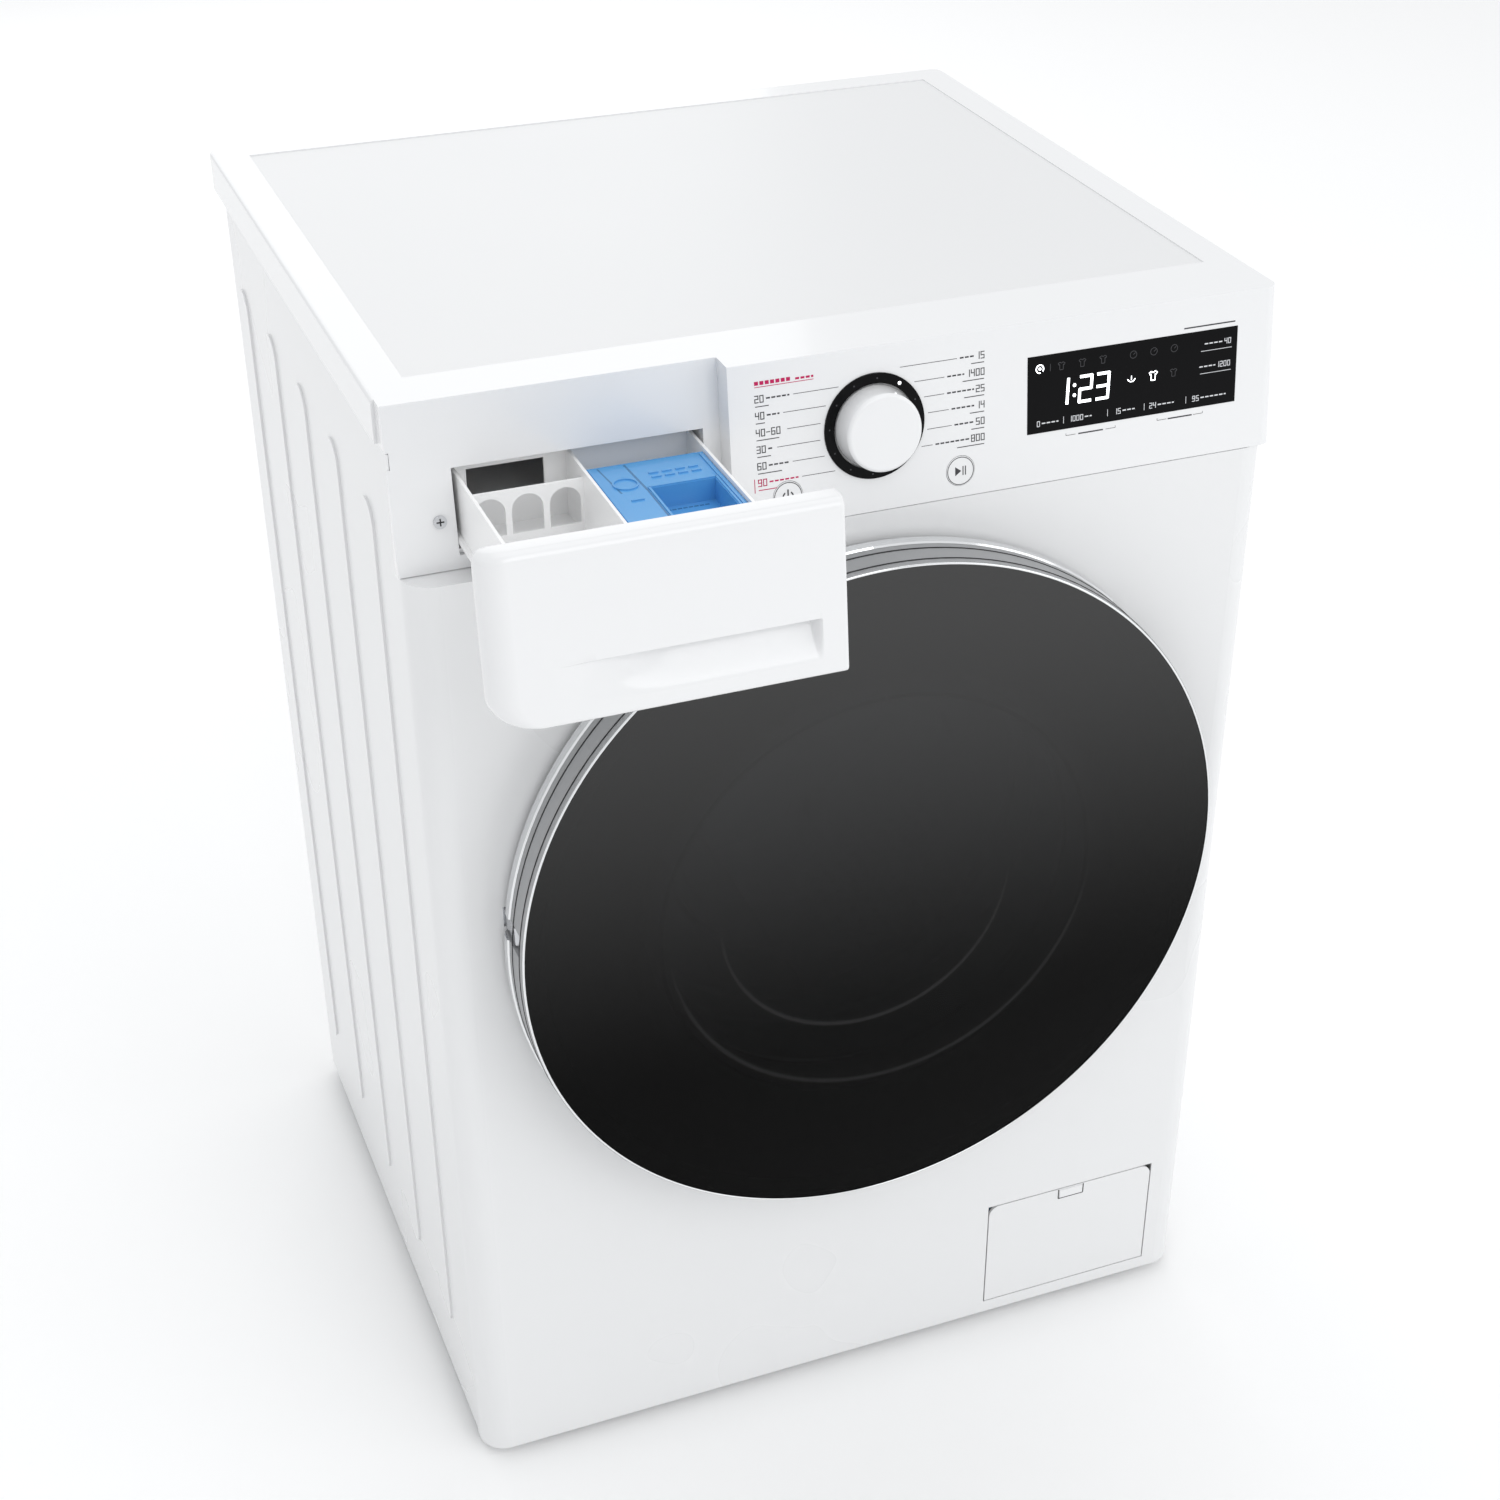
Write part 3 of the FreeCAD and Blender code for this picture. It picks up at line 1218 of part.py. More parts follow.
def door_trim():
    """The bright band round the bezel, open at the finger grip."""
    r = DOOR_R + TRIM_GAP
    b = Y_DOOR_BACK
    band = turned(
        [(r, b - 5), (r + TRIM_WALL, b - 6), (r + TRIM_WALL, b - 13), (r, b - 14)]
    )
    reach = 2 * DOOR_R
    rise = reach * math.tan(math.radians(GRIP_HALF_ANGLE + 8))
    points = [V(0, b - 60, AXIS_Z), V(reach, b - 60, AXIS_Z - rise), V(reach, b - 60, AXIS_Z + rise)]
    wedge = Part.Face(Part.makePolygon(points + points[:1])).extrude(V(0, 80, 0))
    return band.cut(wedge).cut(hinge_slot())


def door_glass():
    """The dark outer glass, slightly domed."""
    r = DOOR_R - GLASS_LIP - GLASS_GAP
    f = Y_DOOR_FRONT
    edge = Part.makePolygon(
        [V(0, f + 0.8, AXIS_Z + r), V(0, Y_GLASS_BACK, AXIS_Z + r), V(0, Y_GLASS_BACK, AXIS_Z)]
    )
    axis_line = Part.makePolygon([V(0, Y_GLASS_BACK, AXIS_Z), V(0, f - GLASS_RISE, AXIS_Z)])
    dome = Part.Arc(
        V(0, f - GLASS_RISE, AXIS_Z),
        V(0, f - GLASS_RISE * 0.72, AXIS_Z + r * 0.5),
        V(0, f + 0.8, AXIS_Z + r),
    ).toShape()
    wire = Part.Wire([dome] + edge.Edges + axis_line.Edges)
    return Part.Face(wire).revolve(V(0, 0, AXIS_Z), V(0, 1, 0), 360)


def door_frame():
    """The inner frame that holds the bowl and carries the latch hook."""
    outer = DOOR_R - BEZEL_WALL - 0.3
    inner = FRAME_INNER_R
    back = Y_FRAME_BACK
    front = Y_GLASS_BACK
    frame = turned(
        [
            (inner, back),
            (outer, back),
            (outer, front + 4.3),
            (outer - 3, front + 4.3),
            (outer - 3, back - 3),
            (inner + 3, back - 3),
            (inner + 3, front),
            (inner, front),
        ]
    )
    x, y, z = hook_pivot()
    block = box(x - 9, x + 9, y - 8, back - 1, z - 16, z + 16)
    frame = joined([frame, block])
    frame = frame.cut(box(x - 11, x + 12, y - 12, back + 1, z - 9, z + 9))
    frame = frame.cut(rod(HOOK_PIN_R + RUNNING_GAP, (x, y, z - 14), (x, y, z + 14)))
    return frame.cut(hinge_slot())


def door_bowl():
    """The clear bowl that reaches into the door seal."""
    r = FRAME_INNER_R - GLASS_GAP
    y = Y_FRAME_BACK - 8
    tip = Y_DOOR_BACK + BOWL_DEPTH
    w = BOWL_WALL
    small = r - BOWL_TAPER
    return turned(
        [
            (0, tip),
            (small - 16, tip - 2),
            (small - 3, tip - 9),
            (small, tip - 18),
            (r - 5, y + 8),
            (r - 1, y + 4),
            (r, y),
            (r - w - 2, y),
            (r - w - 5, y + 5),
            (small - w, tip - 20),
            (small - w - 4, tip - 11 - w * 0.3),
            (small - 18, tip - 3 - w),
            (0, tip - w),
        ]
    )


def hinge_arm():
    """The steel hinge: a plate behind the front panel and an arm out to the pin."""
    z = AXIS_Z + HINGE_ARM_Z
    h = HINGE_ARM_HALF
    w = HINGE_ARM_WIDTH / 2
    arm = box(HINGE_X - w, HINGE_X + w, HINGE_Y, Y_FACE_IN + 1, z - h, z + h)
    knuckle = rod(w + 0.6, (HINGE_X, HINGE_Y, z - h), (HINGE_X, HINGE_Y, z + h))
    plate = box(HINGE_X - 14, HINGE_X + 44, Y_FACE_IN, Y_FACE_IN + 3, z - 40, z + 40)
    hole = rod(HINGE_PIN_R + RUNNING_GAP, (HINGE_X, HINGE_Y, z - 50), (HINGE_X, HINGE_Y, z + 50))
    return joined([arm, knuckle, plate]).cut(hole)


def hinge_pin():
    """The pin through the door's rim and the hinge arm."""
    return rod(HINGE_PIN_R - 0.01, *pin_span())


def hook_pivot():
    """Where the latch hook turns in the door."""
    return HOOK_X, Y_FRAME_BACK - 10.0, AXIS_Z


def latch_hook():
    """The sprung hook on the door, with its two stub pins."""
    x, y, z = hook_pivot()
    tip = y + 10 + HOOK_LENGTH
    outline = [(x - 3.5, y - 5), (x + 3.5, y - 5), (x + 3.5, tip - 10), (x + 9, tip - 10)]
    outline += [(x + 9, tip - 7), (x + 3, tip), (x - 3.5, tip)]
    body = prism_z(outline, z - 7, z + 7)
    return joined([body, rod(HOOK_PIN_R, (x, y, z - 12.5), (x, y, z + 12.5))])


def door_lock():
    """The lock behind the front panel that takes the hook."""
    x = HOOK_X
    y = Y_FACE_IN
    body = box(x - 16, x + 27, y, y + 34, AXIS_Z - 30, AXIS_Z + 30)
    body = body.cut(box(x - 9, x + 18, y - 1, y + 31, AXIS_Z - 10, AXIS_Z + 10))
    return body


def build():
    """Every node by name."""
    power, start = button_places()
    return {
        "cabinet": cabinet(),
        "base_pan": base_pan(),
        "feet": feet(),
        "rear_cover": rear_cover(),
        "screws": screws(),
        "transit_caps": transit_caps(),
        "cord_gland": cord_gland(),
        "top_frame": top_frame(),
        "top_board": top_board(),
        "top_brace": top_brace(),
        "front_panel": front_panel(),
        "control_panel": control_panel(),
        "display_window": display_window(),
        "control_board": control_board(),
        "knob_ring": knob_ring(),
        "program_knob": program_knob(),
        "knob_encoder": knob_encoder(),
        "power_button": button(power),
        "start_button": button(start),
        "button_board": button_board(),
        "drawer_front": drawer_front(),
        "drawer_tray": drawer_tray(),
        "tray_divider": tray_divider(),
        "siphon_insert": siphon_insert(),
        "dispenser_housing": dispenser_housing(),
        "dispenser_hose": dispenser_hose(),
        "water_valve": water_valve(),
        "fill_hose": fill_hose(),
        "tub_front": tub_front(),
        "tub_rear": tub_rear(),
        "front_weight": front_weight(),
        "door_seal": door_seal(),
        "springs": springs(),
        "damper_tubes": damper_tubes(),
        "damper_rods": damper_rods(),
        "drum": drum(),
        "lifters": lifters(),
        "spider": spider(),
        "drum_shaft": drum_shaft(),
        "bearings": bearings(),
        "stator": stator(),
        "rotor": rotor(),
        "heater": heater(),
        "pump_housing": pump_housing(),
        "pump_motor": pump_motor(),
        "pump_impeller": pump_impeller(),
        "drain_filter": drain_filter(),
        "sump_hose": sump_hose(),
        "drain_pipe": drain_pipe(),
        "filter_bay": filter_bay(),
        "service_flap": service_flap(),
        "door_bezel": door_bezel(),
        "door_trim": door_trim(),
        "door_glass": door_glass(),
        "door_frame": door_frame(),
        "door_bowl": door_bowl(),
        "hinge_arm": hinge_arm(),
        "hinge_pin": hinge_pin(),
        "latch_hook": latch_hook(),
        "door_lock": door_lock(),
    }


def main():
    os.makedirs("parts", exist_ok=True)
    for name, shape in build().items():
        if not shape.isValid():
            raise ValueError(name + " is not a valid shape")
        shape.exportStep("parts/" + name + ".step")
        print(name, len(shape.Solids), round(shape.Volume))


main()
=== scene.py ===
import json
import math

import bmesh
import bpy
import numpy as np
from mathutils import Matrix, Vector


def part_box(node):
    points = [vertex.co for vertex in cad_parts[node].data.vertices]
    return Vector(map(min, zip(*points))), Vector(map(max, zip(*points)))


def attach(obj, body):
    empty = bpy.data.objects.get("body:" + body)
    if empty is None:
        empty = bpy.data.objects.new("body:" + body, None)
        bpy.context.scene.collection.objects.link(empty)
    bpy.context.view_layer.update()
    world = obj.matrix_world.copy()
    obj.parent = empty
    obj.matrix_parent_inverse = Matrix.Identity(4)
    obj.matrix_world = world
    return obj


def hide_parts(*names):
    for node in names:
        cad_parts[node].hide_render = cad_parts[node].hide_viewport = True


bl_info = {
    "name": "Front load washing machine",
    "version": (1, 0, 0),
    "blender": (4, 5, 0),
    "location": "View3D > Sidebar > Washer",
    "description": "Finishes and fine detail for a front load washing machine",
    "category": "Object",
}

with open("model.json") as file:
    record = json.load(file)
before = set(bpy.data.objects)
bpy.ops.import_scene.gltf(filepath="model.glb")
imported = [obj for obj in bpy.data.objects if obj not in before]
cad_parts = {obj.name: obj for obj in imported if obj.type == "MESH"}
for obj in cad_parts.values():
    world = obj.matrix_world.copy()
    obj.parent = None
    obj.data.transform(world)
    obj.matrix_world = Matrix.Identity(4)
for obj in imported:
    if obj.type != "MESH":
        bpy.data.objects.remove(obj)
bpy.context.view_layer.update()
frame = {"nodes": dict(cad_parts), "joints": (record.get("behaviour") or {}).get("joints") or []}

FRONT_LOW, FRONT_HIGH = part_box("front_panel")
RING_LOW, RING_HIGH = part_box("knob_ring")
GLASS_LOW, GLASS_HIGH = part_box("door_glass")
BEZEL_LOW, BEZEL_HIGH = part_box("door_bezel")
DISPLAY_LOW, DISPLAY_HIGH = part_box("display_window")
DRAWER_LOW, DRAWER_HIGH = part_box("drawer_front")
INSERT_LOW, INSERT_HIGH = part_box("siphon_insert")
FLAP_LOW, FLAP_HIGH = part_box("service_flap")
COVER_LOW, COVER_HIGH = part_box("rear_cover")
INLET_LOW, INLET_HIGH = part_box("water_valve")
SCREWS_LOW, SCREWS_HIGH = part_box("screws")
DRUM_LOW, DRUM_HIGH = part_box("drum")
JOINTS = {joint["name"]: joint for joint in frame["joints"]}

AXIS_Z = (GLASS_LOW.z + GLASS_HIGH.z) / 2
FACE_Y = FRONT_LOW.y
SEAM_Z = FRONT_HIGH.z
LEAN = math.atan2(-JOINTS["knob_turn"]["axis"][2], JOINTS["knob_turn"]["axis"][1])
KNOB_X = (RING_LOW.x + RING_HIGH.x) / 2
RING_R = (RING_HIGH.x - RING_LOW.x) / 2
FRONT_THICK = 0.0165
MM = 0.001
# Painted glints on the door's glass, as hoops of stronger coat: the centre's place from the axis,
# the radius and the strength
PAINTED_GLINT_HOOPS = (((0.002, 0.010), 0.157, 0.22), ((-0.012, 0.012), 0.106, 0.3))
TINT_RADII = (0.150, 0.180)
# The drum's holes: metres of their pattern in one turn, and how many stand in a metre of it
PATTERN_TURN, HOLES_A_METRE = 1.48, 72.0
CUP_DEPTH = 14 * MM
SCREW_DEPTH = 16.8 * MM
LENS_SHIFT = (-0.03348, 0.0669)


# --- Surfaces ------------------------------------------------------------------------------


def finish_of(name):
    """A finish of this script: the CAD's own materials have some of the same names."""
    return bpy.data.materials["finish_" + name]


def link(name, mesh, material, body):
    """Puts a finished mesh in the scene, on one body, with one finish."""
    piece = bpy.data.objects.new(name, mesh)
    bpy.context.scene.collection.objects.link(piece)
    mesh.materials.clear()
    mesh.materials.append(finish_of(material))
    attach(piece, body)
    return piece


def grid_mesh(name, points, wrap_u=False, wrap_v=False):
    """Quads over a (rows, columns, 3) grid; wrap joins the last row or column to the first."""
    rows, columns = points.shape[:2]
    u = np.arange(rows if wrap_u else rows - 1)
    v = np.arange(columns if wrap_v else columns - 1)
    uu, vv = np.meshgrid(u, v, indexing="ij")
    un, vn = (uu + 1) % rows, (vv + 1) % columns
    faces = np.stack(
        [uu * columns + vv, un * columns + vv, un * columns + vn, uu * columns + vn], -1
    )
    mesh = bpy.data.meshes.new(name)
    mesh.from_pydata(points.reshape(-1, 3).tolist(), [], faces.reshape(-1, 4).tolist())
    make_smooth(mesh)
    return mesh


def make_smooth(mesh):
    mesh.polygons.foreach_set("use_smooth", np.ones(len(mesh.polygons), bool))


def outward(mesh):
    """Merges doubled points and turns every face of a closed mesh outwards."""
    work = bmesh.new()
    work.from_mesh(mesh)
    bmesh.ops.remove_doubles(work, verts=work.verts, dist=1e-7)
    bmesh.ops.recalc_face_normals(work, faces=work.faces)
    work.to_mesh(mesh)
    work.free()
    mesh.update()
    return mesh


def joined(name, sheets, distance, mend):
    """One smooth closed mesh from several sheets; mend repairs what the merged points leave."""
    work = bmesh.new()
    for sheet in sheets:
        work.from_mesh(sheet)
        bpy.data.meshes.remove(sheet)
    bmesh.ops.remove_doubles(work, verts=work.verts, dist=distance)
    mend(work)
    bmesh.ops.recalc_face_normals(work, faces=work.faces)
    whole = bpy.data.meshes.new(name)
    work.to_mesh(whole)
    work.free()
    make_smooth(whole)
    return whole


def turned_band(name, profile, steps=192, axis_x=0.0, axis_z=AXIS_Z):
    """A closed (radius, y) outline carried once round an axis, the door's if none is given."""
    angles = np.radians(np.linspace(0, 360, steps, endpoint=False))
    radius, along = np.array(profile, float).T
    points = np.empty((steps, len(radius), 3))
    points[..., 0] = axis_x + radius * np.cos(angles)[:, None]
    points[..., 1] = along
    points[..., 2] = axis_z + radius * np.sin(angles)[:, None]
    return outward(grid_mesh(name, points, wrap_u=True, wrap_v=True))


def prism_mesh(name, outlines, thick, place):
    """Flat shapes given a thickness: each closed (a, b) outline at depth 0, and again at -thick.

    place turns (a, b, depth) arrays into points of the row frame.
    """
    vertices = []
    faces = []
    for outline in outlines:
        flat = np.array(outline, float)
        count = len(flat)
        base = len(vertices)
        for depth in (0.0, -thick):
            level = np.column_stack([flat, np.full(count, depth)])
            vertices.extend(place(level).tolist())
        ring = np.arange(count)
        after = (ring + 1) % count
        faces.append((base + ring).tolist())
        faces.append((base + count + ring[::-1]).tolist())
        sides = np.stack([ring, ring + count, after + count, after], -1) + base
        faces.extend(sides.tolist())
    mesh = bpy.data.meshes.new(name)
    mesh.from_pydata(vertices, [], faces)
    return outward(mesh)


def on_panel(points):
    """Turns (x, height up the leaning face, depth behind its surface) into points of the frame."""
    x, height, depth = points.T
    y = FACE_Y + height * math.sin(LEAN) + depth * math.cos(LEAN)
    z = SEAM_Z + height * math.cos(LEAN) - depth * math.sin(LEAN)
    return np.column_stack([x, y, z])


def raised_on_panel(lift):
    """A placing function for marks whose back lies lift in front of the leaning face."""

    def place(points):
        return on_panel(points - np.array([0.0, 0.0, lift]))

    return place


def bar(x0, z0, x1, z1, width):
    """A straight stroke as a four-cornered outline."""
    along = np.array([x1 - x0, z1 - z0])
    length = max(float(np.hypot(*along)), 1e-9)
    side = np.array([-along[1], along[0]]) / length * width / 2
    a, b = np.array([x0, z0]), np.array([x1, z1])
    return [tuple(a - side), tuple(b - side), tuple(b + side), tuple(a + side)]


def bars(x, z, rows):
    """Straight strokes; a row has two places, in mm from (x, z), and a width in mm."""
    return [
        bar(x + a * MM, z + b * MM, x + c * MM, z + d * MM, width * MM)
        for a, b, c, d, width in rows
    ]


def rectangle(x0, z0, x1, z1):
    """A rectangle's outline from two opposite corners."""
    return [(x0, z0), (x1, z0), (x1, z1), (x0, z1)]


def arc(cx, cz, radius, start, end, width, steps=40):
    """A curved stroke about a centre, split into short four-cornered outlines."""
    angles = np.radians(np.linspace(start, end, steps + 1))
    inner, outer = radius - width / 2, radius + width / 2
    shapes = []
    for a, b in zip(angles[:-1], angles[1:]):
        corners = ((inner, a), (outer, a), (outer, b), (inner, b))
        shapes.append([(cx + r * math.cos(t), cz + r * math.sin(t)) for r, t in corners])
    return shapes


def dot(cx, cz, radius, steps=20):
    """A round spot."""
    angles = np.linspace(0, 2 * math.pi, steps, endpoint=False)
    return [(cx + radius * math.cos(t), cz + radius * math.sin(t)) for t in angles]


SEGMENTS = {
    "a": (0, 2, 1, 2),
    "b": (1, 2, 1, 1),
    "c": (1, 1, 1, 0),
    "d": (0, 0, 1, 0),
    "e": (0, 1, 0, 0),
    "f": (0, 2, 0, 1),
    "g": (0, 1, 1, 1),
}
DIGITS = {
    "0": "abcdef",
    "1": "bc",
    "2": "abged",
    "3": "abgcd",
    "4": "fgbc",
    "5": "afgcd",
    "6": "afgedc",
    "7": "abc",
    "8": "abcdefg",
    "9": "abcdfg",
    "-": "g",
}


def number(text, x, z, height, stroke, slant=0.0, gap=0.0, align=0.0):
    """Digits drawn as straight strokes, from x rightwards; align 1 ends them at x instead."""
    wide = height * 0.5
    pitch = wide + stroke * 2.2
    widths = [stroke * 2.4 if c == ":" else pitch for c in text]
    left = x - align * (sum(widths) - stroke * 2.2)
    shapes = []
    for c, w in zip(text, widths):
        if c == ":":
            for level in (0.3, 0.7):
                shapes.append(dot(left + stroke * 0.6, z + height * level, stroke * 0.62, 12))
        for name in DIGITS.get(c, ""):
            a, b, p, q = SEGMENTS[name]
            x0, z0 = a * wide, b * height / 2
            x1, z1 = p * wide, q * height / 2
            trim = gap / max(math.hypot(x1 - x0, z1 - z0), 1e-9)
            x0, x1 = x0 + (x1 - x0) * trim, x1 - (x1 - x0) * trim
            z0, z1 = z0 + (z1 - z0) * trim, z1 - (z1 - z0) * trim
            reach = stroke * 0.5 - gap
            run = math.hypot(x1 - x0, z1 - z0)
            dx, dz = (x1 - x0) / run * reach, (z1 - z0) / run * reach
            x0, z0, x1, z1 = x0 - dx, z0 - dz, x1 + dx, z1 + dz
            shapes.append(
                bar(left + x0 + z0 * slant, z + z0, left + x1 + z1 * slant, z + z1, stroke)
            )
        left += w
    return shapes


# --- Finishes ------------------------------------------------------------------------------


def add(tree, kind, values=None, **settings):
    """A shader node of a kind, with its settings, and with values on its inputs."""
    node = tree.nodes.new("ShaderNode" + kind)
    for name, value in settings.items():
        setattr(node, name, value)
    for name, value in (values or {}).items():
        node.inputs[name].default_value = value
    return node


def wire(tree, *rows):
    """Links nodes; a row is a node, its output, the next node and that node's input."""
    for source, output, target, name in rows:
        tree.links.new(source.outputs[output], target.inputs[name])


def start_group(name, inputs, outputs):
    """A node group. An input has a starting value, or None for a vector; an output has a kind."""
    group = bpy.data.node_groups.new(name, "ShaderNodeTree")
    for label, value in inputs.items():
        kind = "NodeSocketVector" if value is None else "NodeSocketFloat"
        made = group.interface.new_socket(name=label, in_out="INPUT", socket_type=kind)
        if value is not None:
            made.default_value = value
    for label, kind in outputs.items():
        group.interface.new_socket(
            name=label, in_out="OUTPUT", socket_type="NodeSocket" + kind
        )
    given = group.nodes.new("NodeGroupInput") if inputs else None
    return group, given, group.nodes.new("NodeGroupOutput")


def grain_group():
    """Fine unevenness in a moulded or enamelled skin: a shade, a roughness and a bent normal."""
    group, given, out = start_group(
        "skin_grain",
        {"Scale": 60.0, "Relief": 0.05, "Rough low": 0.2, "Rough high": 0.3},
        {"Shade": "Float", "Roughness": "Float", "Normal": "Vector"},
    )
    place = add(group, "TexCoord")
    fine = add(group, "TexNoise", {"Detail": 3.0})
    broad = add(group, "TexNoise", {"Scale": 5.0, "Detail": 2.0})
    spread = add(group, "MapRange")
    bump = add(group, "Bump", {"Distance": 0.0004})
    wire(
        group,
        (place, "Object", fine, "Vector"),
        (place, "Object", broad, "Vector"),
        (given, "Scale", fine, "Scale"),
        (broad, "Fac", spread, "Value"),
        (given, "Rough low", spread, "To Min"),
        (given, "Rough high", spread, "To Max"),
        (fine, "Fac", bump, "Height"),
        (given, "Relief", bump, "Strength"),
        (broad, "Fac", out, "Shade"),
        (spread, "Result", out, "Roughness"),
        (bump, "Normal", out, "Normal"),
    )


def polar_group():
    """Radius and angle about the drum's axis, in metres and turns, and the place along it."""
    results = {"Radius": "Float", "Turn": "Float", "Along": "Float"}
    group, _, out = start_group("about_drum_axis", {}, results)
    place = add(group, "TexCoord")
    split = add(group, "SeparateXYZ")
    height = add(group, "Math", {1: AXIS_Z}, operation="SUBTRACT")
    flat = add(group, "CombineXYZ")
    length = add(group, "VectorMath", operation="LENGTH")
    angle = add(group, "Math", operation="ARCTAN2")
    turn = add(group, "Math", {1: 2 * math.pi}, operation="DIVIDE")
    wire(
        group,
        (place, "Object", split, "Vector"),
        (split, "Z", height, 0),
        (split, "X", flat, "X"),
        (height, "Value", flat, "Y"),
        (flat, "Vector", length, 0),
        (height, "Value", angle, 0),
        (split, "X", angle, 1),
        (angle, "Value", turn, 0),
        (length, "Value", out, "Radius"),
        (turn, "Value", out, "Turn"),
        (split, "Y", out, "Along"),
    )


def hoop_group():
    """A soft circle round the Y axis: its strength on the circle, falling to 0 over the width."""
    group, given, out = start_group(
        "soft_hoop",
        {"Centre": None, "Radius": 0.1, "Width": 0.003, "Strength": 0.3},
        {"Mask": "Float"},
    )
    place = add(group, "TexCoord")
    away = add(group, "VectorMath", operation="SUBTRACT")
    flat = add(group, "VectorMath", {1: (1.0, 0.0, 1.0)}, operation="MULTIPLY")
    length = add(group, "VectorMath", operation="LENGTH")
    off = add(group, "Math", operation="SUBTRACT")
    near = add(group, "Math", operation="ABSOLUTE")
    fade = add(group, "MapRange", {"To Max": 0.0}, interpolation_type="SMOOTHSTEP")
    wire(
        group,
        (place, "Object", away, 0),
        (given, "Centre", away, 1),
        (away, "Vector", flat, 0),
        (flat, "Vector", length, 0),
        (length, "Value", off, 0),
        (given, "Radius", off, 1),
        (off, "Value", near, 0),
        (near, "Value", fade, "Value"),
        (given, "Width", fade, "From Max"),
        (given, "Strength", fade, "To Min"),
        (fade, "Result", out, "Mask"),
    )


def start_material(name, values):
    """A fresh material: its node tree, and its Principled shader with values on the inputs."""
    material = bpy.data.materials.new("finish_" + name)
    material.use_nodes = True
    tree = material.node_tree
    tree.nodes.clear()
    shader = add(tree, "BsdfPrincipled", values)
    wire(tree, (shader, "BSDF", add(tree, "OutputMaterial"), "Surface"))
    return tree, shader


def use_group(tree, name, values=None):
    return add(tree, "Group", values, node_tree=bpy.data.node_groups[name])


def mixed(tree, source, output, low, high, shader):
    """Colours the shader between low and high by an output that changes over the surface."""
    mix = add(tree, "Mix", data_type="RGBA")
    mix.inputs[6].default_value = (*low, 1.0)
    mix.inputs[7].default_value = (*high, 1.0)
    wire(tree, (source, output, mix, "Factor"), (mix, 2, shader, "Base Color"))


def skin(
    name, color, rough, metal=0.0, scale=60.0, relief=0.04, vary=0.03, coat=0.0, glow=0.0, shine=0.5
):
    """A plain moulded, enamelled or metal skin with a little unevenness."""
    values = {"Metallic": metal, "Coat Weight": coat, "Coat Roughness": 0.06}
    values["Specular IOR Level"] = shine
    if glow:
        values["Emission Color"] = (*color, 1.0)
        values["Emission Strength"] = glow
    tree, shader = start_material(name, values)
    spread = {"Rough low": rough * 0.88, "Rough high": rough * 1.12}
    grain = use_group(tree, "skin_grain", {"Scale": scale, "Relief": relief, **spread})
    low = [c * (1 - vary) for c in color]
    high = [min(1.0, c * (1 + vary)) for c in color]
    mixed(tree, grain, "Shade", low, high, shader)
    wire(tree, (grain, "Roughness", shader, "Roughness"), (grain, "Normal", shader, "Normal"))


def brushed(name, color, rough, stretch):
    """Metal with fine lines along one axis."""
    tree, shader = start_material(name, {"Metallic": 1.0})
    place = add(tree, "TexCoord")
    lines = add(tree, "Mapping", {"Scale": stretch})
    noise = add(tree, "TexNoise", {"Scale": 40.0, "Detail": 4.0})
    spread = add(tree, "MapRange", {"To Min": rough * 0.75, "To Max": rough * 1.4})
    wire(
        tree,
        (place, "Object", lines, "Vector"),
        (lines, "Vector", noise, "Vector"),
        (noise, "Fac", spread, "Value"),
        (spread, "Result", shader, "Roughness"),
    )
    mixed(tree, noise, "Fac", [c * 0.9 for c in color], color, shader)


def drum_steel():
    """Stainless skin: rows of small round holes all over its wall, painted near black for the shade
    seen through them, and plain ends.
    """
    tree, shader = start_material("drum_steel_pierced", {"Roughness": 0.28})
    wall = (DRUM_HIGH.x - DRUM_LOW.x) / 2
    polar = use_group(tree, "about_drum_axis")
    grid = add(tree, "CombineXYZ")
    around = add(tree, "Math", {1: PATTERN_TURN}, operation="MULTIPLY")
    scale = {"Scale": HOLES_A_METRE, "Randomness": 0.0}
    cells = add(tree, "TexVoronoi", scale, voronoi_dimensions="2D")
    hole_shade = add(tree, "MapRange", {"From Min": 0.13, "From Max": 0.19})
    ends = add(tree, "MapRange", {"From Min": wall - 10 * MM, "From Max": wall - 6 * MM})
    ends.inputs["To Min"].default_value = 1.0
    ends.inputs["To Max"].default_value = 0.0
    steel = add(tree, "Math", operation="MAXIMUM")
    bump = add(tree, "Bump", {"Distance": 0.001, "Strength": 0.6})
    wire(
        tree,
        (polar, "Turn", around, 0),
        (polar, "Radius", ends, "Value"),
        (around, "Value", grid, "X"),
        (polar, "Along", grid, "Y"),
        (grid, "Vector", cells, "Vector"),
        (cells, "Distance", hole_shade, "Value"),
        (hole_shade, "Result", steel, 0),
        (ends, "Result", steel, 1),
        (steel, "Value", bump, "Height"),
        (bump, "Normal", shader, "Normal"),
        (steel, "Value", shader, "Metallic"),
    )
    # The holes are near black: painted shade for the dark seen through them, not cut holes.
    mixed(tree, steel, "Value", (0.03, 0.03, 0.03), (0.62, 0.63, 0.65), shader)


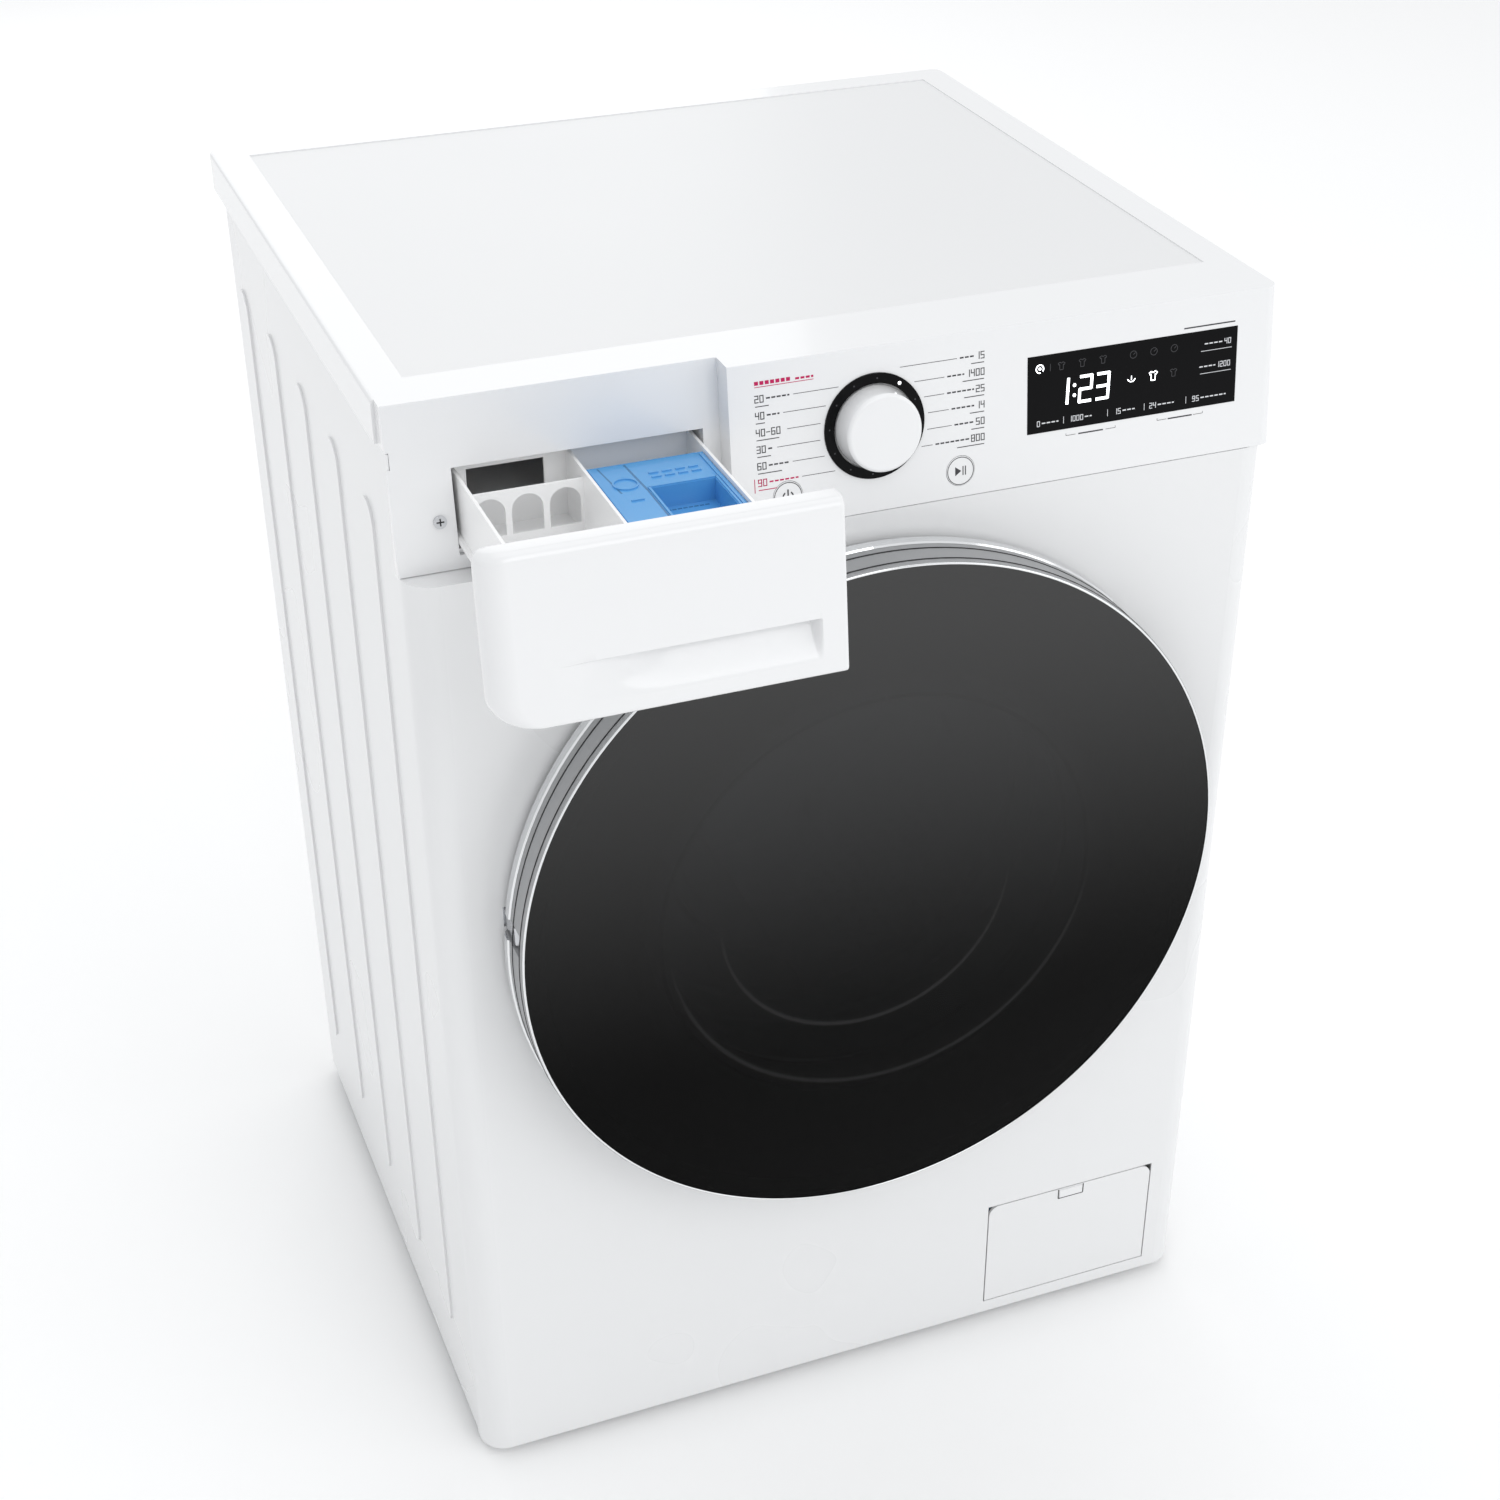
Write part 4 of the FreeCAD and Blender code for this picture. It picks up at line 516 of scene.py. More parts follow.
def door_glass():
    """Dark glass: printed black towards its rim, faintly clear inside, with a painted reflection
    towards its top.

    The tint is a smooth step of the distance from the axis. The coat grows with height, a painted
    reflection, and it is a little stronger on two hoops, painted glints for the bowl's two ends.
    """
    values = {"Metallic": 0.0, "Transmission Weight": 1.0, "Roughness": 0.02, "IOR": 1.16}
    values.update({"Coat IOR": 1.62, "Coat Roughness": 0.02})
    tree, shader = start_material("door_dark_glass", values)
    polar = use_group(tree, "about_drum_axis")
    place = add(tree, "TexCoord")
    split = add(tree, "SeparateXYZ")
    reach = {"From Min": TINT_RADII[0], "From Max": TINT_RADII[1]}
    edge = add(tree, "MapRange", reach, interpolation_type="SMOOTHSTEP")
    reach = {"From Min": GLASS_LOW.z + 0.13, "From Max": GLASS_HIGH.z + 0.03}
    rise = add(tree, "MapRange", reach, interpolation_type="SMOOTHSTEP")
    wire(
        tree,
        (polar, "Radius", edge, "Value"),
        (place, "Object", split, "Vector"),
        (split, "Z", rise, "Value"),
    )
    # Painted reflection: the coat's weight rises with height, and painted glints raise it on each
    # hoop.
    painted_sheen = (rise, "Result")
    for (x, z), radius, strength in PAINTED_GLINT_HOOPS:
        values = {"Centre": (x, 0.0, AXIS_Z + z), "Radius": radius, "Strength": strength}
        hoop = use_group(tree, "soft_hoop", values)
        more = add(tree, "Math", operation="MAXIMUM")
        wire(tree, (*painted_sheen, more, 0), (hoop, "Mask", more, 1))
        painted_sheen = (more, "Value")
    wire(tree, (*painted_sheen, shader, "Coat Weight"))
    mixed(tree, edge, "Result", (0.060, 0.062, 0.068), (0.002, 0.002, 0.002), shader)


def clear_glass():
    """The clear bowl behind the dark glass."""
    values = {"Base Color": (0.93, 0.96, 0.96, 1.0), "Metallic": 0.0, "Transmission Weight": 1.0}
    start_material("door_bowl_glass", {**values, "Roughness": 0.03, "IOR": 1.45})


def make_finishes(look):
    """Every finish, by name."""
    grain_group()
    polar_group()
    hoop_group()
    white = tuple(look.body_white)
    plastic = tuple(look.plastic_white)
    blue = tuple(look.insert_blue)
    skin("white_enamel", white, 0.28, scale=180, relief=0.03, vary=0.006, coat=0.25)
    skin("white_gloss_plastic", plastic, 0.16, scale=120, relief=0.015, vary=0.006, coat=0.35)
    skin("top_board_white", [c * 0.945 for c in white], 0.34, scale=420, relief=0.06, vary=0.006)
    tray = [min(0.92, c * 1.15) for c in plastic]
    skin("tray_white", tray, 0.3, scale=150, relief=0.03, vary=0.01)
    skin("insert_blue", blue, 0.22, scale=120, relief=0.02, vary=0.02, coat=0.2)
    # Darker blue: painted shade for the insert's grooves and the collar round its throat, and the
    # limit dashes.
    skin("insert_blue_shade", [c * 0.55 for c in blue], 0.25, scale=120, relief=0.02)
    skin("bezel_silver", (0.36, 0.365, 0.373), 0.4, metal=0.35, scale=90, relief=0.01, shine=0.35)
    skin("trim_chrome", (0.82, 0.83, 0.84), 0.09, metal=1.0, scale=60, relief=0.005, vary=0.01)
    # Dark joints between parts, and painted shade for the cup's throat and the screw's cross.
    skin("dark_joint_and_shade", (0.03, 0.03, 0.032), 0.5, scale=80, relief=0.02, shine=0.2)
    skin("gloss_black", (0.004, 0.004, 0.0045), 0.12, scale=60, relief=0.004, shine=0.08)
    skin("matte_black", (0.018, 0.018, 0.02), 0.5, scale=220, relief=0.1, vary=0.1, shine=0.2)
    skin("grey_plastic", (0.30, 0.31, 0.32), 0.45, scale=200, relief=0.1, vary=0.05)
    skin("tub_plastic", (0.62, 0.63, 0.62), 0.5, scale=160, relief=0.1, vary=0.04)
    skin("seal_rubber", (0.23, 0.24, 0.245), 0.55, scale=260, relief=0.08, vary=0.06)
    skin("hose_rubber", (0.03, 0.03, 0.03), 0.6, scale=200, relief=0.1, vary=0.1)
    skin("concrete", (0.44, 0.43, 0.41), 0.85, scale=70, relief=0.5, vary=0.12)
    skin("circuit_green", (0.03, 0.14, 0.06), 0.4, scale=200, relief=0.05, vary=0.1)
    skin("winding_copper", (0.45, 0.22, 0.10), 0.4, metal=0.6, scale=300, relief=0.2, vary=0.1)
    skin("rotor_steel", (0.16, 0.17, 0.18), 0.45, metal=0.6, scale=120, relief=0.06, vary=0.06)
    skin("cast_metal", (0.55, 0.56, 0.57), 0.5, metal=0.9, scale=240, relief=0.25, vary=0.06)
    skin("print_grey", (0.055, 0.055, 0.06), 0.45, scale=100, relief=0.0, shine=0.2)
    skin("print_red", (0.50, 0.012, 0.10), 0.45, scale=100, relief=0.0, shine=0.2)
    skin("print_soft_white", (0.62, 0.63, 0.65), 0.4, scale=100, relief=0.0, glow=0.12)
    skin("print_dim", (0.07, 0.07, 0.075), 0.4, scale=100, relief=0.0, shine=0.1)
    skin("lamp_white", (0.95, 0.97, 1.0), 0.4, scale=100, relief=0.0, glow=2.2)
    skin("label_silver", (0.72, 0.73, 0.74), 0.35, metal=0.4, scale=90, relief=0.02)
    brushed("bright_steel", (0.62, 0.63, 0.65), 0.25, (1.0, 12.0, 1.0))
    brushed("zinc_sheet", (0.60, 0.62, 0.64), 0.36, (6.0, 1.0, 6.0))
    drum_steel()
    door_glass()
    clear_glass()


# The CAD pieces of each finish
CAD_FINISH = {
    "white_enamel": "cabinet front_panel rear_cover service_flap",
    "white_gloss_plastic": "control_panel top_frame program_knob power_button start_button"
    " drawer_front",
    "top_board_white": "top_board",
    "tray_white": "drawer_tray tray_divider dispenser_housing",
    "insert_blue": "siphon_insert drain_filter",
    "bezel_silver": "door_bezel",
    "trim_chrome": "door_trim",
    "gloss_black": "display_window knob_ring",
    "matte_black": "door_frame door_lock knob_encoder pump_motor",
    "grey_plastic": "feet transit_caps damper_tubes drain_pipe",
    "tub_plastic": "tub_front tub_rear lifters pump_housing pump_impeller filter_bay water_valve",
    "seal_rubber": "door_seal",
    "hose_rubber": "dispenser_hose fill_hose sump_hose cord_gland",
    "concrete": "front_weight",
    "circuit_green": "control_board button_board",
    "winding_copper": "stator",
    "rotor_steel": "rotor",
    "cast_metal": "spider",
    "bright_steel": "screws springs damper_rods drum_shaft bearings heater hinge_arm hinge_pin"
    " latch_hook",
    "zinc_sheet": "base_pan top_brace",
    "drum_steel_pierced": "drum",
    "door_dark_glass": "door_glass",
    "door_bowl_glass": "door_bowl",
}


# --- Sizes and colours ---------------------------------------------------------------------


def number_of(name, about, value, **kind):
    return bpy.props.FloatProperty(name=name, description=about, default=value, **kind)


def length(name, about, value):
    return number_of(name, about, value, unit="LENGTH")


def angle(name, about, degrees):
    return number_of(name, about, math.radians(degrees), subtype="ANGLE")


def vector(name, about, value, subtype="COLOR"):
    return bpy.props.FloatVectorProperty(
        name=name, description=about, subtype=subtype, default=value
    )


class LookSettings(bpy.types.PropertyGroup):
    """Colours of the main finishes."""

    body_white: vector("Body white", "Colour of the enamelled sheet", (0.78, 0.784, 0.79))
    plastic_white: vector(
        "Plastic white", "Colour of the glossy white mouldings", (0.80, 0.804, 0.812)
    )
    insert_blue: vector("Insert blue", "Colour of the softener insert", (0.10, 0.36, 0.72))


class PanelSettings(bpy.types.PropertyGroup):
    """Sizes of the marks on the control panel."""

    print_rise: length("Print rise", "How far the print stands off the panel", 0.00008)
    mark_height: length("Mark height", "Height of the programme numbers", 0.0042)
    row_pitch: length("Row pitch", "Distance between two programme rows", 0.0107)
    clock_height: length("Clock height", "Height of the lit digits", 0.0165)


class DoorSettings(bpy.types.PropertyGroup):
    """Sizes of the bands round the door."""

    joint_width: length(
        "Joint width", "Width of the dark joints between the door's bands", 0.0011
    )
    band_rise: length("Band rise", "How far a band stands off the rim", 0.0003)


class DrawerSettings(bpy.types.PropertyGroup):
    """Shape of the drawer's front; its corners are named as seen from the front."""

    side_round: length("Side rounding", "Radius of the front's left side", 0.0155)
    right_round: length("Right rounding", "Radius of the front's right side", 0.0022)
    edge_round: length("Edge rounding", "Radius of the front's top edge", 0.006)
    foot_round: length("Foot rounding", "Radius of the front's bottom edge", 0.003)
    corner_round: length("Corner rounding", "Radius of the left bottom corner", 0.020)
    top_corner: length("Top corner rounding", "Radius of the left top corner", 0.008)
    grip_lip: length("Grip lip", "Height of the lip over the finger grip", 0.034)
    grip_foot: length("Grip foot", "Height where the finger grip starts", 0.010)
    grip_depth: length("Grip depth", "Depth of the finger grip under its lip", 0.011)


class StageSettings(bpy.types.PropertyGroup):
    """The camera and the lights."""

    camera_place: vector(
        "Camera place", "Where the camera stands", (-0.57447, -1.58359, 1.42330), "TRANSLATION"
    )
    yaw: angle("Yaw", "How far the camera turns to the right of straight ahead", 22.17)
    pitch: angle("Pitch", "How far the camera looks down", 33.31)
    roll: angle("Roll", "How far the camera is tipped on its own axis", 0.34)
    lens: number_of("Lens", "Focal length for a 36 mm sensor", 59.06)
    light: number_of("Light", "Strength of the softboxes", 1.0)
    room: number_of("Room", "Strength of the pale room's light", 0.88)


# --- Operators -----------------------------------------------------------------------------


class OBJECT_OT_washer_finishes(bpy.types.Operator):
    """Makes the finishes and gives one to every CAD piece"""

    bl_idname = "object.washer_finishes"
    bl_label = "Finishes"

    def execute(self, context):
        make_finishes(context.scene.washer_look)
        for finish, nodes in CAD_FINISH.items():
            for node in nodes.split():
                for place in frame["nodes"][node].material_slots:
                    place.material = finish_of(finish)
        return {"FINISHED"}


class OBJECT_OT_washer_door(bpy.types.Operator):
    """Adds the thin dark joints and the bright edge round the door"""

    bl_idname = "object.washer_door"
    bl_label = "Door bands"

    def execute(self, context):
        look = context.scene.washer_door
        rim = (BEZEL_HIGH.x - BEZEL_LOW.x) / 2
        front = BEZEL_LOW.y
        back = BEZEL_HIGH.y
        w, rise = look.joint_width, look.band_rise
        section = ((-rise, 0), (rise, 0), (rise, w), (-rise, w))
        for name, y in (("door_joint_front", front + 5.2 * MM), ("door_joint_mid", back - 21 * MM)):
            band = turned_band(name, [(rim + a, y + b) for a, b in section])
            link(name, band, "dark_joint_and_shade", "door")
        section = ((-2.2, 0.6), (-1.6, -0.25), (-0.6, 0.1), (-0.2, 0.9))
        lip = [(rim + a * MM, front + b * MM) for a, b in section]
        name = "door_edge_bright"
        link(name, turned_band(name, lip), "trim_chrome", "door")
        return {"FINISHED"}


# Programme rows: the number, the length of the dashes after it and of the thin line below, in mm
LEFT_ROWS = (
    ("20", 16, 9),
    ("40", 9, 6),
    ("40-60", 0, 15),
    ("30", 4, 9),
    ("60", 14, 16),
    ("90", 20, 13),
)
RIGHT_ROWS = (
    ("15", 10, 9),
    ("1400", 12, 15),
    ("25", 19, 14),
    ("14", 16, 10),
    ("50", 14, 9),
    ("800", 24, 19),
)


def dashes(x0, x1, z, width):
    """A broken line from x0 to x1: strokes of 2.6 mm with gaps of 0.9 mm."""
    starts = np.arange(x0, x1 - 1.0 * MM, 3.5 * MM)
    return [bar(x, z, min(x + 2.6 * MM, x1), z, width) for x in starts]


def panel_lines(settings):
    """Programme numbers, dashes and leader lines on both sides of the knob: grey, then red."""
    grey, red = [], []
    ring_height = knob_height()
    size = settings.mark_height
    stroke = size * 0.14
    reach = RING_R + 3 * MM
    left_x, right_x = KNOB_X - 79 * MM, KNOB_X + 76 * MM
    glyph = size * 0.5 + stroke * 2.2
    for row, (text, run, line) in enumerate(LEFT_ROWS):
        height = ring_height + 26.5 * MM - row * settings.row_pitch
        level = height + size / 2
        store = red if row == len(LEFT_ROWS) - 1 else grey
        store.extend(number(text, left_x, height, size, stroke))
        end = left_x + len(text) * glyph
        store.extend(dashes(end + 0.6 * MM, end + run * MM, level, 1.0 * MM))
        store.extend(bars(left_x, height, [(0, -2.6, line, -2.6, 0.55)]))
        edge = math.sqrt(max(reach**2 - (level - ring_height) ** 2, (12 * MM) ** 2))
        start = end + max(run, 1) * MM + 2.5 * MM
        grey.append(bar(start, level, KNOB_X - edge, level, 0.36 * MM))
    for row, (text, run, line) in enumerate(RIGHT_ROWS):
        height = ring_height + 33 * MM - row * settings.row_pitch
        level = height + size / 2
        grey.extend(number(text, right_x, height, size, stroke, align=1.0))
        end = right_x - len(text) * glyph
        grey.extend(dashes(end - run * MM, end - 0.2 * MM, level, 1.0 * MM))
        grey.extend(bars(right_x, height, [(-line, -2.6, 0, -2.6, 0.55)]))
        edge = math.sqrt(max(reach**2 - (level - ring_height) ** 2, (18 * MM) ** 2))
        stop = max(end - run * MM - 2 * MM, KNOB_X + edge + 2 * MM)
        grey.append(bar(KNOB_X + edge, level, stop, level, 0.36 * MM))
    top = ring_height + 38.5 * MM
    red.extend(dashes(left_x, left_x + 25 * MM, top, 2.4 * MM))
    red.extend(dashes(left_x + 27 * MM, left_x + 39 * MM, top - 0.4 * MM, 1.4 * MM))
    red.extend(bars(left_x, top, [(0, -2.4, 39, -2.4, 0.4)]))
    low = ring_height + 26.5 * MM - 5 * settings.row_pitch
    red.extend(bars(left_x, low, [(-2.5, -4, -2.5, 5, 0.5)]))
    return grey, red


def knob_height():
    """How far up the leaning face the knob's centre is."""
    return ((RING_LOW.z + RING_HIGH.z) / 2 - SEAM_Z) / math.cos(LEAN)


def button_center(node):
    """x and height up the face of a round button."""
    low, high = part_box(node)
    return (low.x + high.x) / 2, ((low.z + high.z) / 2 - SEAM_Z) / math.cos(LEAN) + 0.3 * MM


class OBJECT_OT_washer_panel(bpy.types.Operator):
    """Prints the programme marks and the button signs on the control panel"""

    bl_idname = "object.washer_panel"
    bl_label = "Panel print"

    def execute(self, context):
        settings = context.scene.washer_panel
        rise = settings.print_rise
        grey, red = panel_lines(settings)
        screen = (DISPLAY_LOW.z - SEAM_Z) / math.cos(LEAN)
        for cx, half in ((DISPLAY_LOW.x + 46 * MM, 18 * MM), (DISPLAY_LOW.x + 112 * MM, 17 * MM)):
            for side in (-1, 1):
                a, b = cx + side * half, cx + side * (half - 7 * MM)
                grey.append(bar(a, screen - 4.4 * MM, b, screen - 4.4 * MM, 0.3 * MM))
                grey.append(bar(a, screen - 4.4 * MM, a, screen - 3.0 * MM, 0.3 * MM))
            grey.extend(bars(cx, screen, [(-9, -4.4, 9, -4.4, 0.9)]))
        top = screen + (DISPLAY_HIGH.z - DISPLAY_LOW.z) + 3.6 * MM
        grey.extend(bars(DISPLAY_HIGH.x, top, [(-40, 0, -2, 0, 0.9)]))
        prints = (("panel_print", grey, "print_grey"), ("panel_red", red, "print_red"))
        for name, lines, finish in prints:
            mesh = prism_mesh(name, lines, rise, raised_on_panel(0.0))
            link(name, mesh, finish, "machine")
        for node, body in (("power_button", "power"), ("start_button", "start")):
            cx, cz = button_center(node)
            signs = arc(cx, cz, 9.1 * MM, 0, 360, 0.5 * MM, 64)
            if body == "power":
                signs += arc(cx, cz - 0.3 * MM, 3.4 * MM, 125, 415, 0.95 * MM, 28)
                signs.extend(bars(cx, cz, [(0, -0.4, 0, 4.6, 0.95)]))
            else:
                triangle = ((-3.8, -3), (0.4, 0), (-3.8, 3))
                signs.append([(cx + x * MM, cz + z * MM) for x, z in triangle])
                signs.extend(bars(cx, cz, [(x, -3, x, 3, 0.7) for x in (1.7, 3.4)]))
            name = body + "_sign"
            mesh = prism_mesh(name, signs, rise, raised_on_panel(0.2 * MM))
            link(name, mesh, "print_grey", body)
        return {"FINISHED"}


class OBJECT_OT_washer_ring(bpy.types.Operator):
    """Sets the spots of the programme ring, one of them lit"""

    bl_idname = "object.washer_ring"
    bl_label = "Ring spots"

    def execute(self, context):
        middle = knob_height()
        track = RING_R - 3.2 * MM
        place = raised_on_panel(1.0 * MM)

        def spot(degrees, radius):
            turn = math.radians(degrees)
            return dot(KNOB_X + track * math.cos(turn), middle + track * math.sin(turn), radius)

        dim = [spot(56 + 30 * k, 0.55 * MM) for k in range(1, 12)]
        mesh = prism_mesh("ring_spots", dim, 0.08 * MM, place)
        link("ring_spots", mesh, "print_dim", "machine")
        mesh = prism_mesh("ring_lamp", [spot(56, 1.1 * MM)], 0.09 * MM, place)
        link("ring_lamp", mesh, "lamp_white", "machine")
        return {"FINISHED"}


def garment(cx, cz, size, width):
    """A small shirt outline."""
    w, h = size * 0.5, size * 0.5
    line = [
        (-w, h * 0.7),
        (-w * 0.45, h),
        (0, h * 0.7),
        (w * 0.45, h),
        (w, h * 0.7),
        (w * 0.75, h * 0.25),
        (w * 0.5, h * 0.4),
        (w * 0.5, -h),
        (-w * 0.5, -h),
        (-w * 0.5, h * 0.4),
        (-w * 0.75, h * 0.25),
    ]
    ends = line[1:] + line[:1]
    return [bar(cx + a[0], cz + a[1], cx + b[0], cz + b[1], width) for a, b in zip(line, ends)]


class OBJECT_OT_washer_display(bpy.types.Operator):
    """Lights the display: the clock and the small signs"""

    bl_idname = "object.washer_display"
    bl_label = "Display"

    def execute(self, context):
        settings = context.scene.washer_panel
        x0, x1 = DISPLAY_LOW.x, DISPLAY_HIGH.x
        low = (DISPLAY_LOW.z - SEAM_Z) / math.cos(LEAN) + 0.3 * MM
        high = low + (DISPLAY_HIGH.z - DISPLAY_LOW.z) / math.cos(LEAN) - 0.8 * MM
        tall = high - low
        row = low + tall * 0.52
        top = high - 8 * MM
        foot, size = low + tall * 0.33, settings.clock_height
        clock = number("1:23", x0 + 20 * MM, foot, size, 1.9 * MM, 0.06, 0.25 * MM)
        clock.extend(arc(x0 + 75 * MM, row + 1.2 * MM, 2.9 * MM, 200, 340, 0.6 * MM, 12))
        clock.extend(bars(x0, row, [(75, -0.6, 75, 2.2, 0.6)]))
        clock.extend(garment(x0 + 91 * MM, row, 6 * MM, 0.6 * MM))
        clock.extend(arc(x0 + 8.6 * MM, top, 2.6 * MM, -40, 280, 0.8 * MM, 24))
        clock.append(dot(x0 + 8.6 * MM, top, 1.0 * MM))
        self.print_on("display_clock", clock, "lamp_white", "white_plastic")
        dim = bars(x0, top, [(16, -2.4, 16, 2.4, 0.35)])
        for x in (24, 39, 54):
            dim.extend(garment(x0 + x * MM, top, 5 * MM, 0.35 * MM))
        for x in (76, 91, 106):
            dim.extend(arc(x0 + x * MM, top, 2.4 * MM, 0, 360, 0.35 * MM, 24))
            dim.extend(bars(x0, top, [(x, 0, x + 1.4, 1.2, 0.35)]))
        dim.extend(garment(x0 + 106 * MM, row, 5 * MM, 0.35 * MM))
        self.print_on("display_dim_signs", dim, "print_dim", "grey_plastic")
        soft = []
        size = 3.4 * MM
        stroke = size * 0.14
        base = low + 4.4 * MM
        numbers = ((7, "0", 12), (30, "1000", 5), (63, "15", 9), (89, "24", 12), (121, "95", 19))
        for x, text, run in numbers:
            soft.extend(number(text, x0 + x * MM, base, size, stroke))
            start = x0 + (x + 2.7 * len(text) + 0.6) * MM
            soft.extend(dashes(start, start + run * MM, base + size / 2, 0.8 * MM))
        soft.extend(bars(x0, base, [(x, -0.6, x, 4, 0.35) for x in (26, 58, 85, 116)]))
        for level, text, run in ((0.80, "40", 14), (0.50, "1200", 12)):
            z = low + tall * level
            soft.extend(number(text, x1 - 5 * MM, z, size, stroke, align=1.0))
            end = x1 - 5 * MM - 2.7 * len(text) * MM
            soft.extend(dashes(end - run * MM, end, z + size / 2, 0.8 * MM))
            soft.extend(bars(x1, z, [(-27, -3, -4, -3, 0.35)]))
        self.print_on("display_soft_signs", soft, "print_soft_white", "white_plastic")
        return {"FINISHED"}

    def print_on(self, name, shapes, finish, slot):
        """Lays thin shapes on the display's window."""
        mesh = prism_mesh(name, shapes, 0.06 * MM, raised_on_panel(0.2 * MM))
        link(name, mesh, finish, "machine")


def smooth(value, low, high):
    """0 below low, 1 above high, and a smooth step between."""
    t = np.clip((value - low) / (high - low), 0, 1)
    return t * t * (3 - 2 * t)


def quarter(distance, radius):
    """How far a rounded edge falls back at a distance from that edge: a quarter circle."""
    inside = np.clip(radius - distance, 0, radius)
    return radius - np.sqrt(np.maximum(radius**2 - inside**2, 0))


def drawer_height():
    """Height of the drawer's front along its lean."""
    return (DRAWER_HIGH.z - DRAWER_LOW.z - FRONT_THICK * math.sin(LEAN)) / math.cos(LEAN)


def drawer_depth(settings, x, v):
    """How far the drawer's face lies behind its front plane, x from the left and v up its face.

    Each edge falls away as a quarter circle. The finger grip is a ramp that deepens upwards to
    its lip, fades out towards its left end, and stops short of the right side.
    """
    wide = DRAWER_HIGH.x - DRAWER_LOW.x
    tall = drawer_height()
    fall = quarter(x, settings.side_round) + quarter(wide - x, settings.right_round)
    fall = fall + quarter(tall - v, settings.edge_round) + quarter(v, settings.foot_round)
    lip, foot = settings.grip_lip, settings.grip_foot
    rise_to_lip = smooth(v, foot, lip - 1 * MM) ** 0.8
    ramp = np.where(v > lip, 1 - smooth(v, lip, lip + 1.2 * MM), rise_to_lip)
    enter = smooth(x, 34 * MM, 112 * MM)
    leave = smooth(wide - x, 15.5 * MM, 19.5 * MM)
    depth = fall + settings.grip_depth * ramp * enter * leave
    return np.minimum(depth, FRONT_THICK - 0.6 * MM)


class OBJECT_OT_washer_drawer(bpy.types.Operator):
    """Makes the drawer's rounded front with its finger grip"""

    bl_idname = "object.washer_drawer"
    bl_label = "Drawer front"

    def execute(self, context):
        settings = context.scene.washer_drawer
        wide = DRAWER_HIGH.x - DRAWER_LOW.x
        tall = drawer_height()
        lip = settings.grip_lip
        side = settings.side_round
        across = self.stops(
            (
                (0, side, 16),
                (side, wide - 20 * MM, 90),
                (wide - 20 * MM, wide - 2 * MM, 30),
                (wide - 2 * MM, wide, 8),
            )
        )
        edge = settings.edge_round
        up = self.stops(
            (
                (0, settings.foot_round, 9),
                (settings.foot_round, lip, 38),
                (lip, lip + 1.2 * MM, 8),
                (lip + 1.2 * MM, tall - edge, 12),
                (tall - edge, tall, 12),
            )
        )
        aa, vv = np.meshgrid(across, up, indexing="ij")
        depth = drawer_depth(settings, aa, vv)
        inset = quarter(vv, settings.corner_round) + quarter(tall - vv, settings.top_corner)
        xx = inset + aa * (wide - inset) / wide
        front = self.place(xx, vv, depth)
        back = self.place(xx, vv, np.full_like(depth, FRONT_THICK))
        mesh = self.shell("drawer_face", front, back)
        piece = link("drawer_face", mesh, "white_gloss_plastic", "drawer")
        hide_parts("drawer_front")
        return {"FINISHED"}

    def stops(self, runs):
        """Grid lines over several stretches, each with its own number of steps."""
        lines = [np.linspace(a, b, count) for a, b, count in runs]
        return np.unique(np.concatenate(lines).round(7))

    def place(self, x, v, depth):
        """x from the left side, v up the face and depth behind it, to points of the frame."""
        base_z = DRAWER_LOW.z + FRONT_THICK * math.sin(LEAN)
        y = DRAWER_LOW.y + v * math.sin(LEAN) + depth * math.cos(LEAN)
        z = base_z + v * math.cos(LEAN) - depth * math.sin(LEAN)
        return np.stack([DRAWER_LOW.x + x, y, z], -1)

    def shell(self, name, front, back):
        """Closes a front sheet and a back sheet of one grid into a solid, along all four sides."""
        sheets = [
            front,
            back,
            np.stack([front[0], back[0]]),
            np.stack([front[-1], back[-1]]),
            np.stack([front[:, 0], back[:, 0]]),
            np.stack([front[:, -1], back[:, -1]]),
        ]

        def mend(work):
            bmesh.ops.dissolve_degenerate(work, edges=work.edges, dist=1e-7)

        mesh = joined(name, [grid_mesh("sheet", points) for points in sheets], 1e-6, mend)
        mesh.set_sharp_from_angle(angle=math.radians(40))
        return mesh


def on_insert(lift):
    """A placing function for shapes that lie on the insert's plate, lift above it."""

    def place(points):
        x, y, depth = points.T
        return np.column_stack([x, y, INSERT_HIGH.z + lift + depth])

    return place


def rounded_block(x0, y0, x1, y1, radius, steps=6):
    """A rectangle with round corners, as one outline."""
    outline = []
    corners = ((x1 - radius, y1 - radius, 0), (x0 + radius, y1 - radius, 90))
    corners += ((x0 + radius, y0 + radius, 180), (x1 - radius, y0 + radius, 270))
    for cx, cy, start in corners:
        for turn in np.radians(np.linspace(start, start + 90, steps)):
            outline.append((cx + radius * math.cos(turn), cy + radius * math.sin(turn)))
    return outline


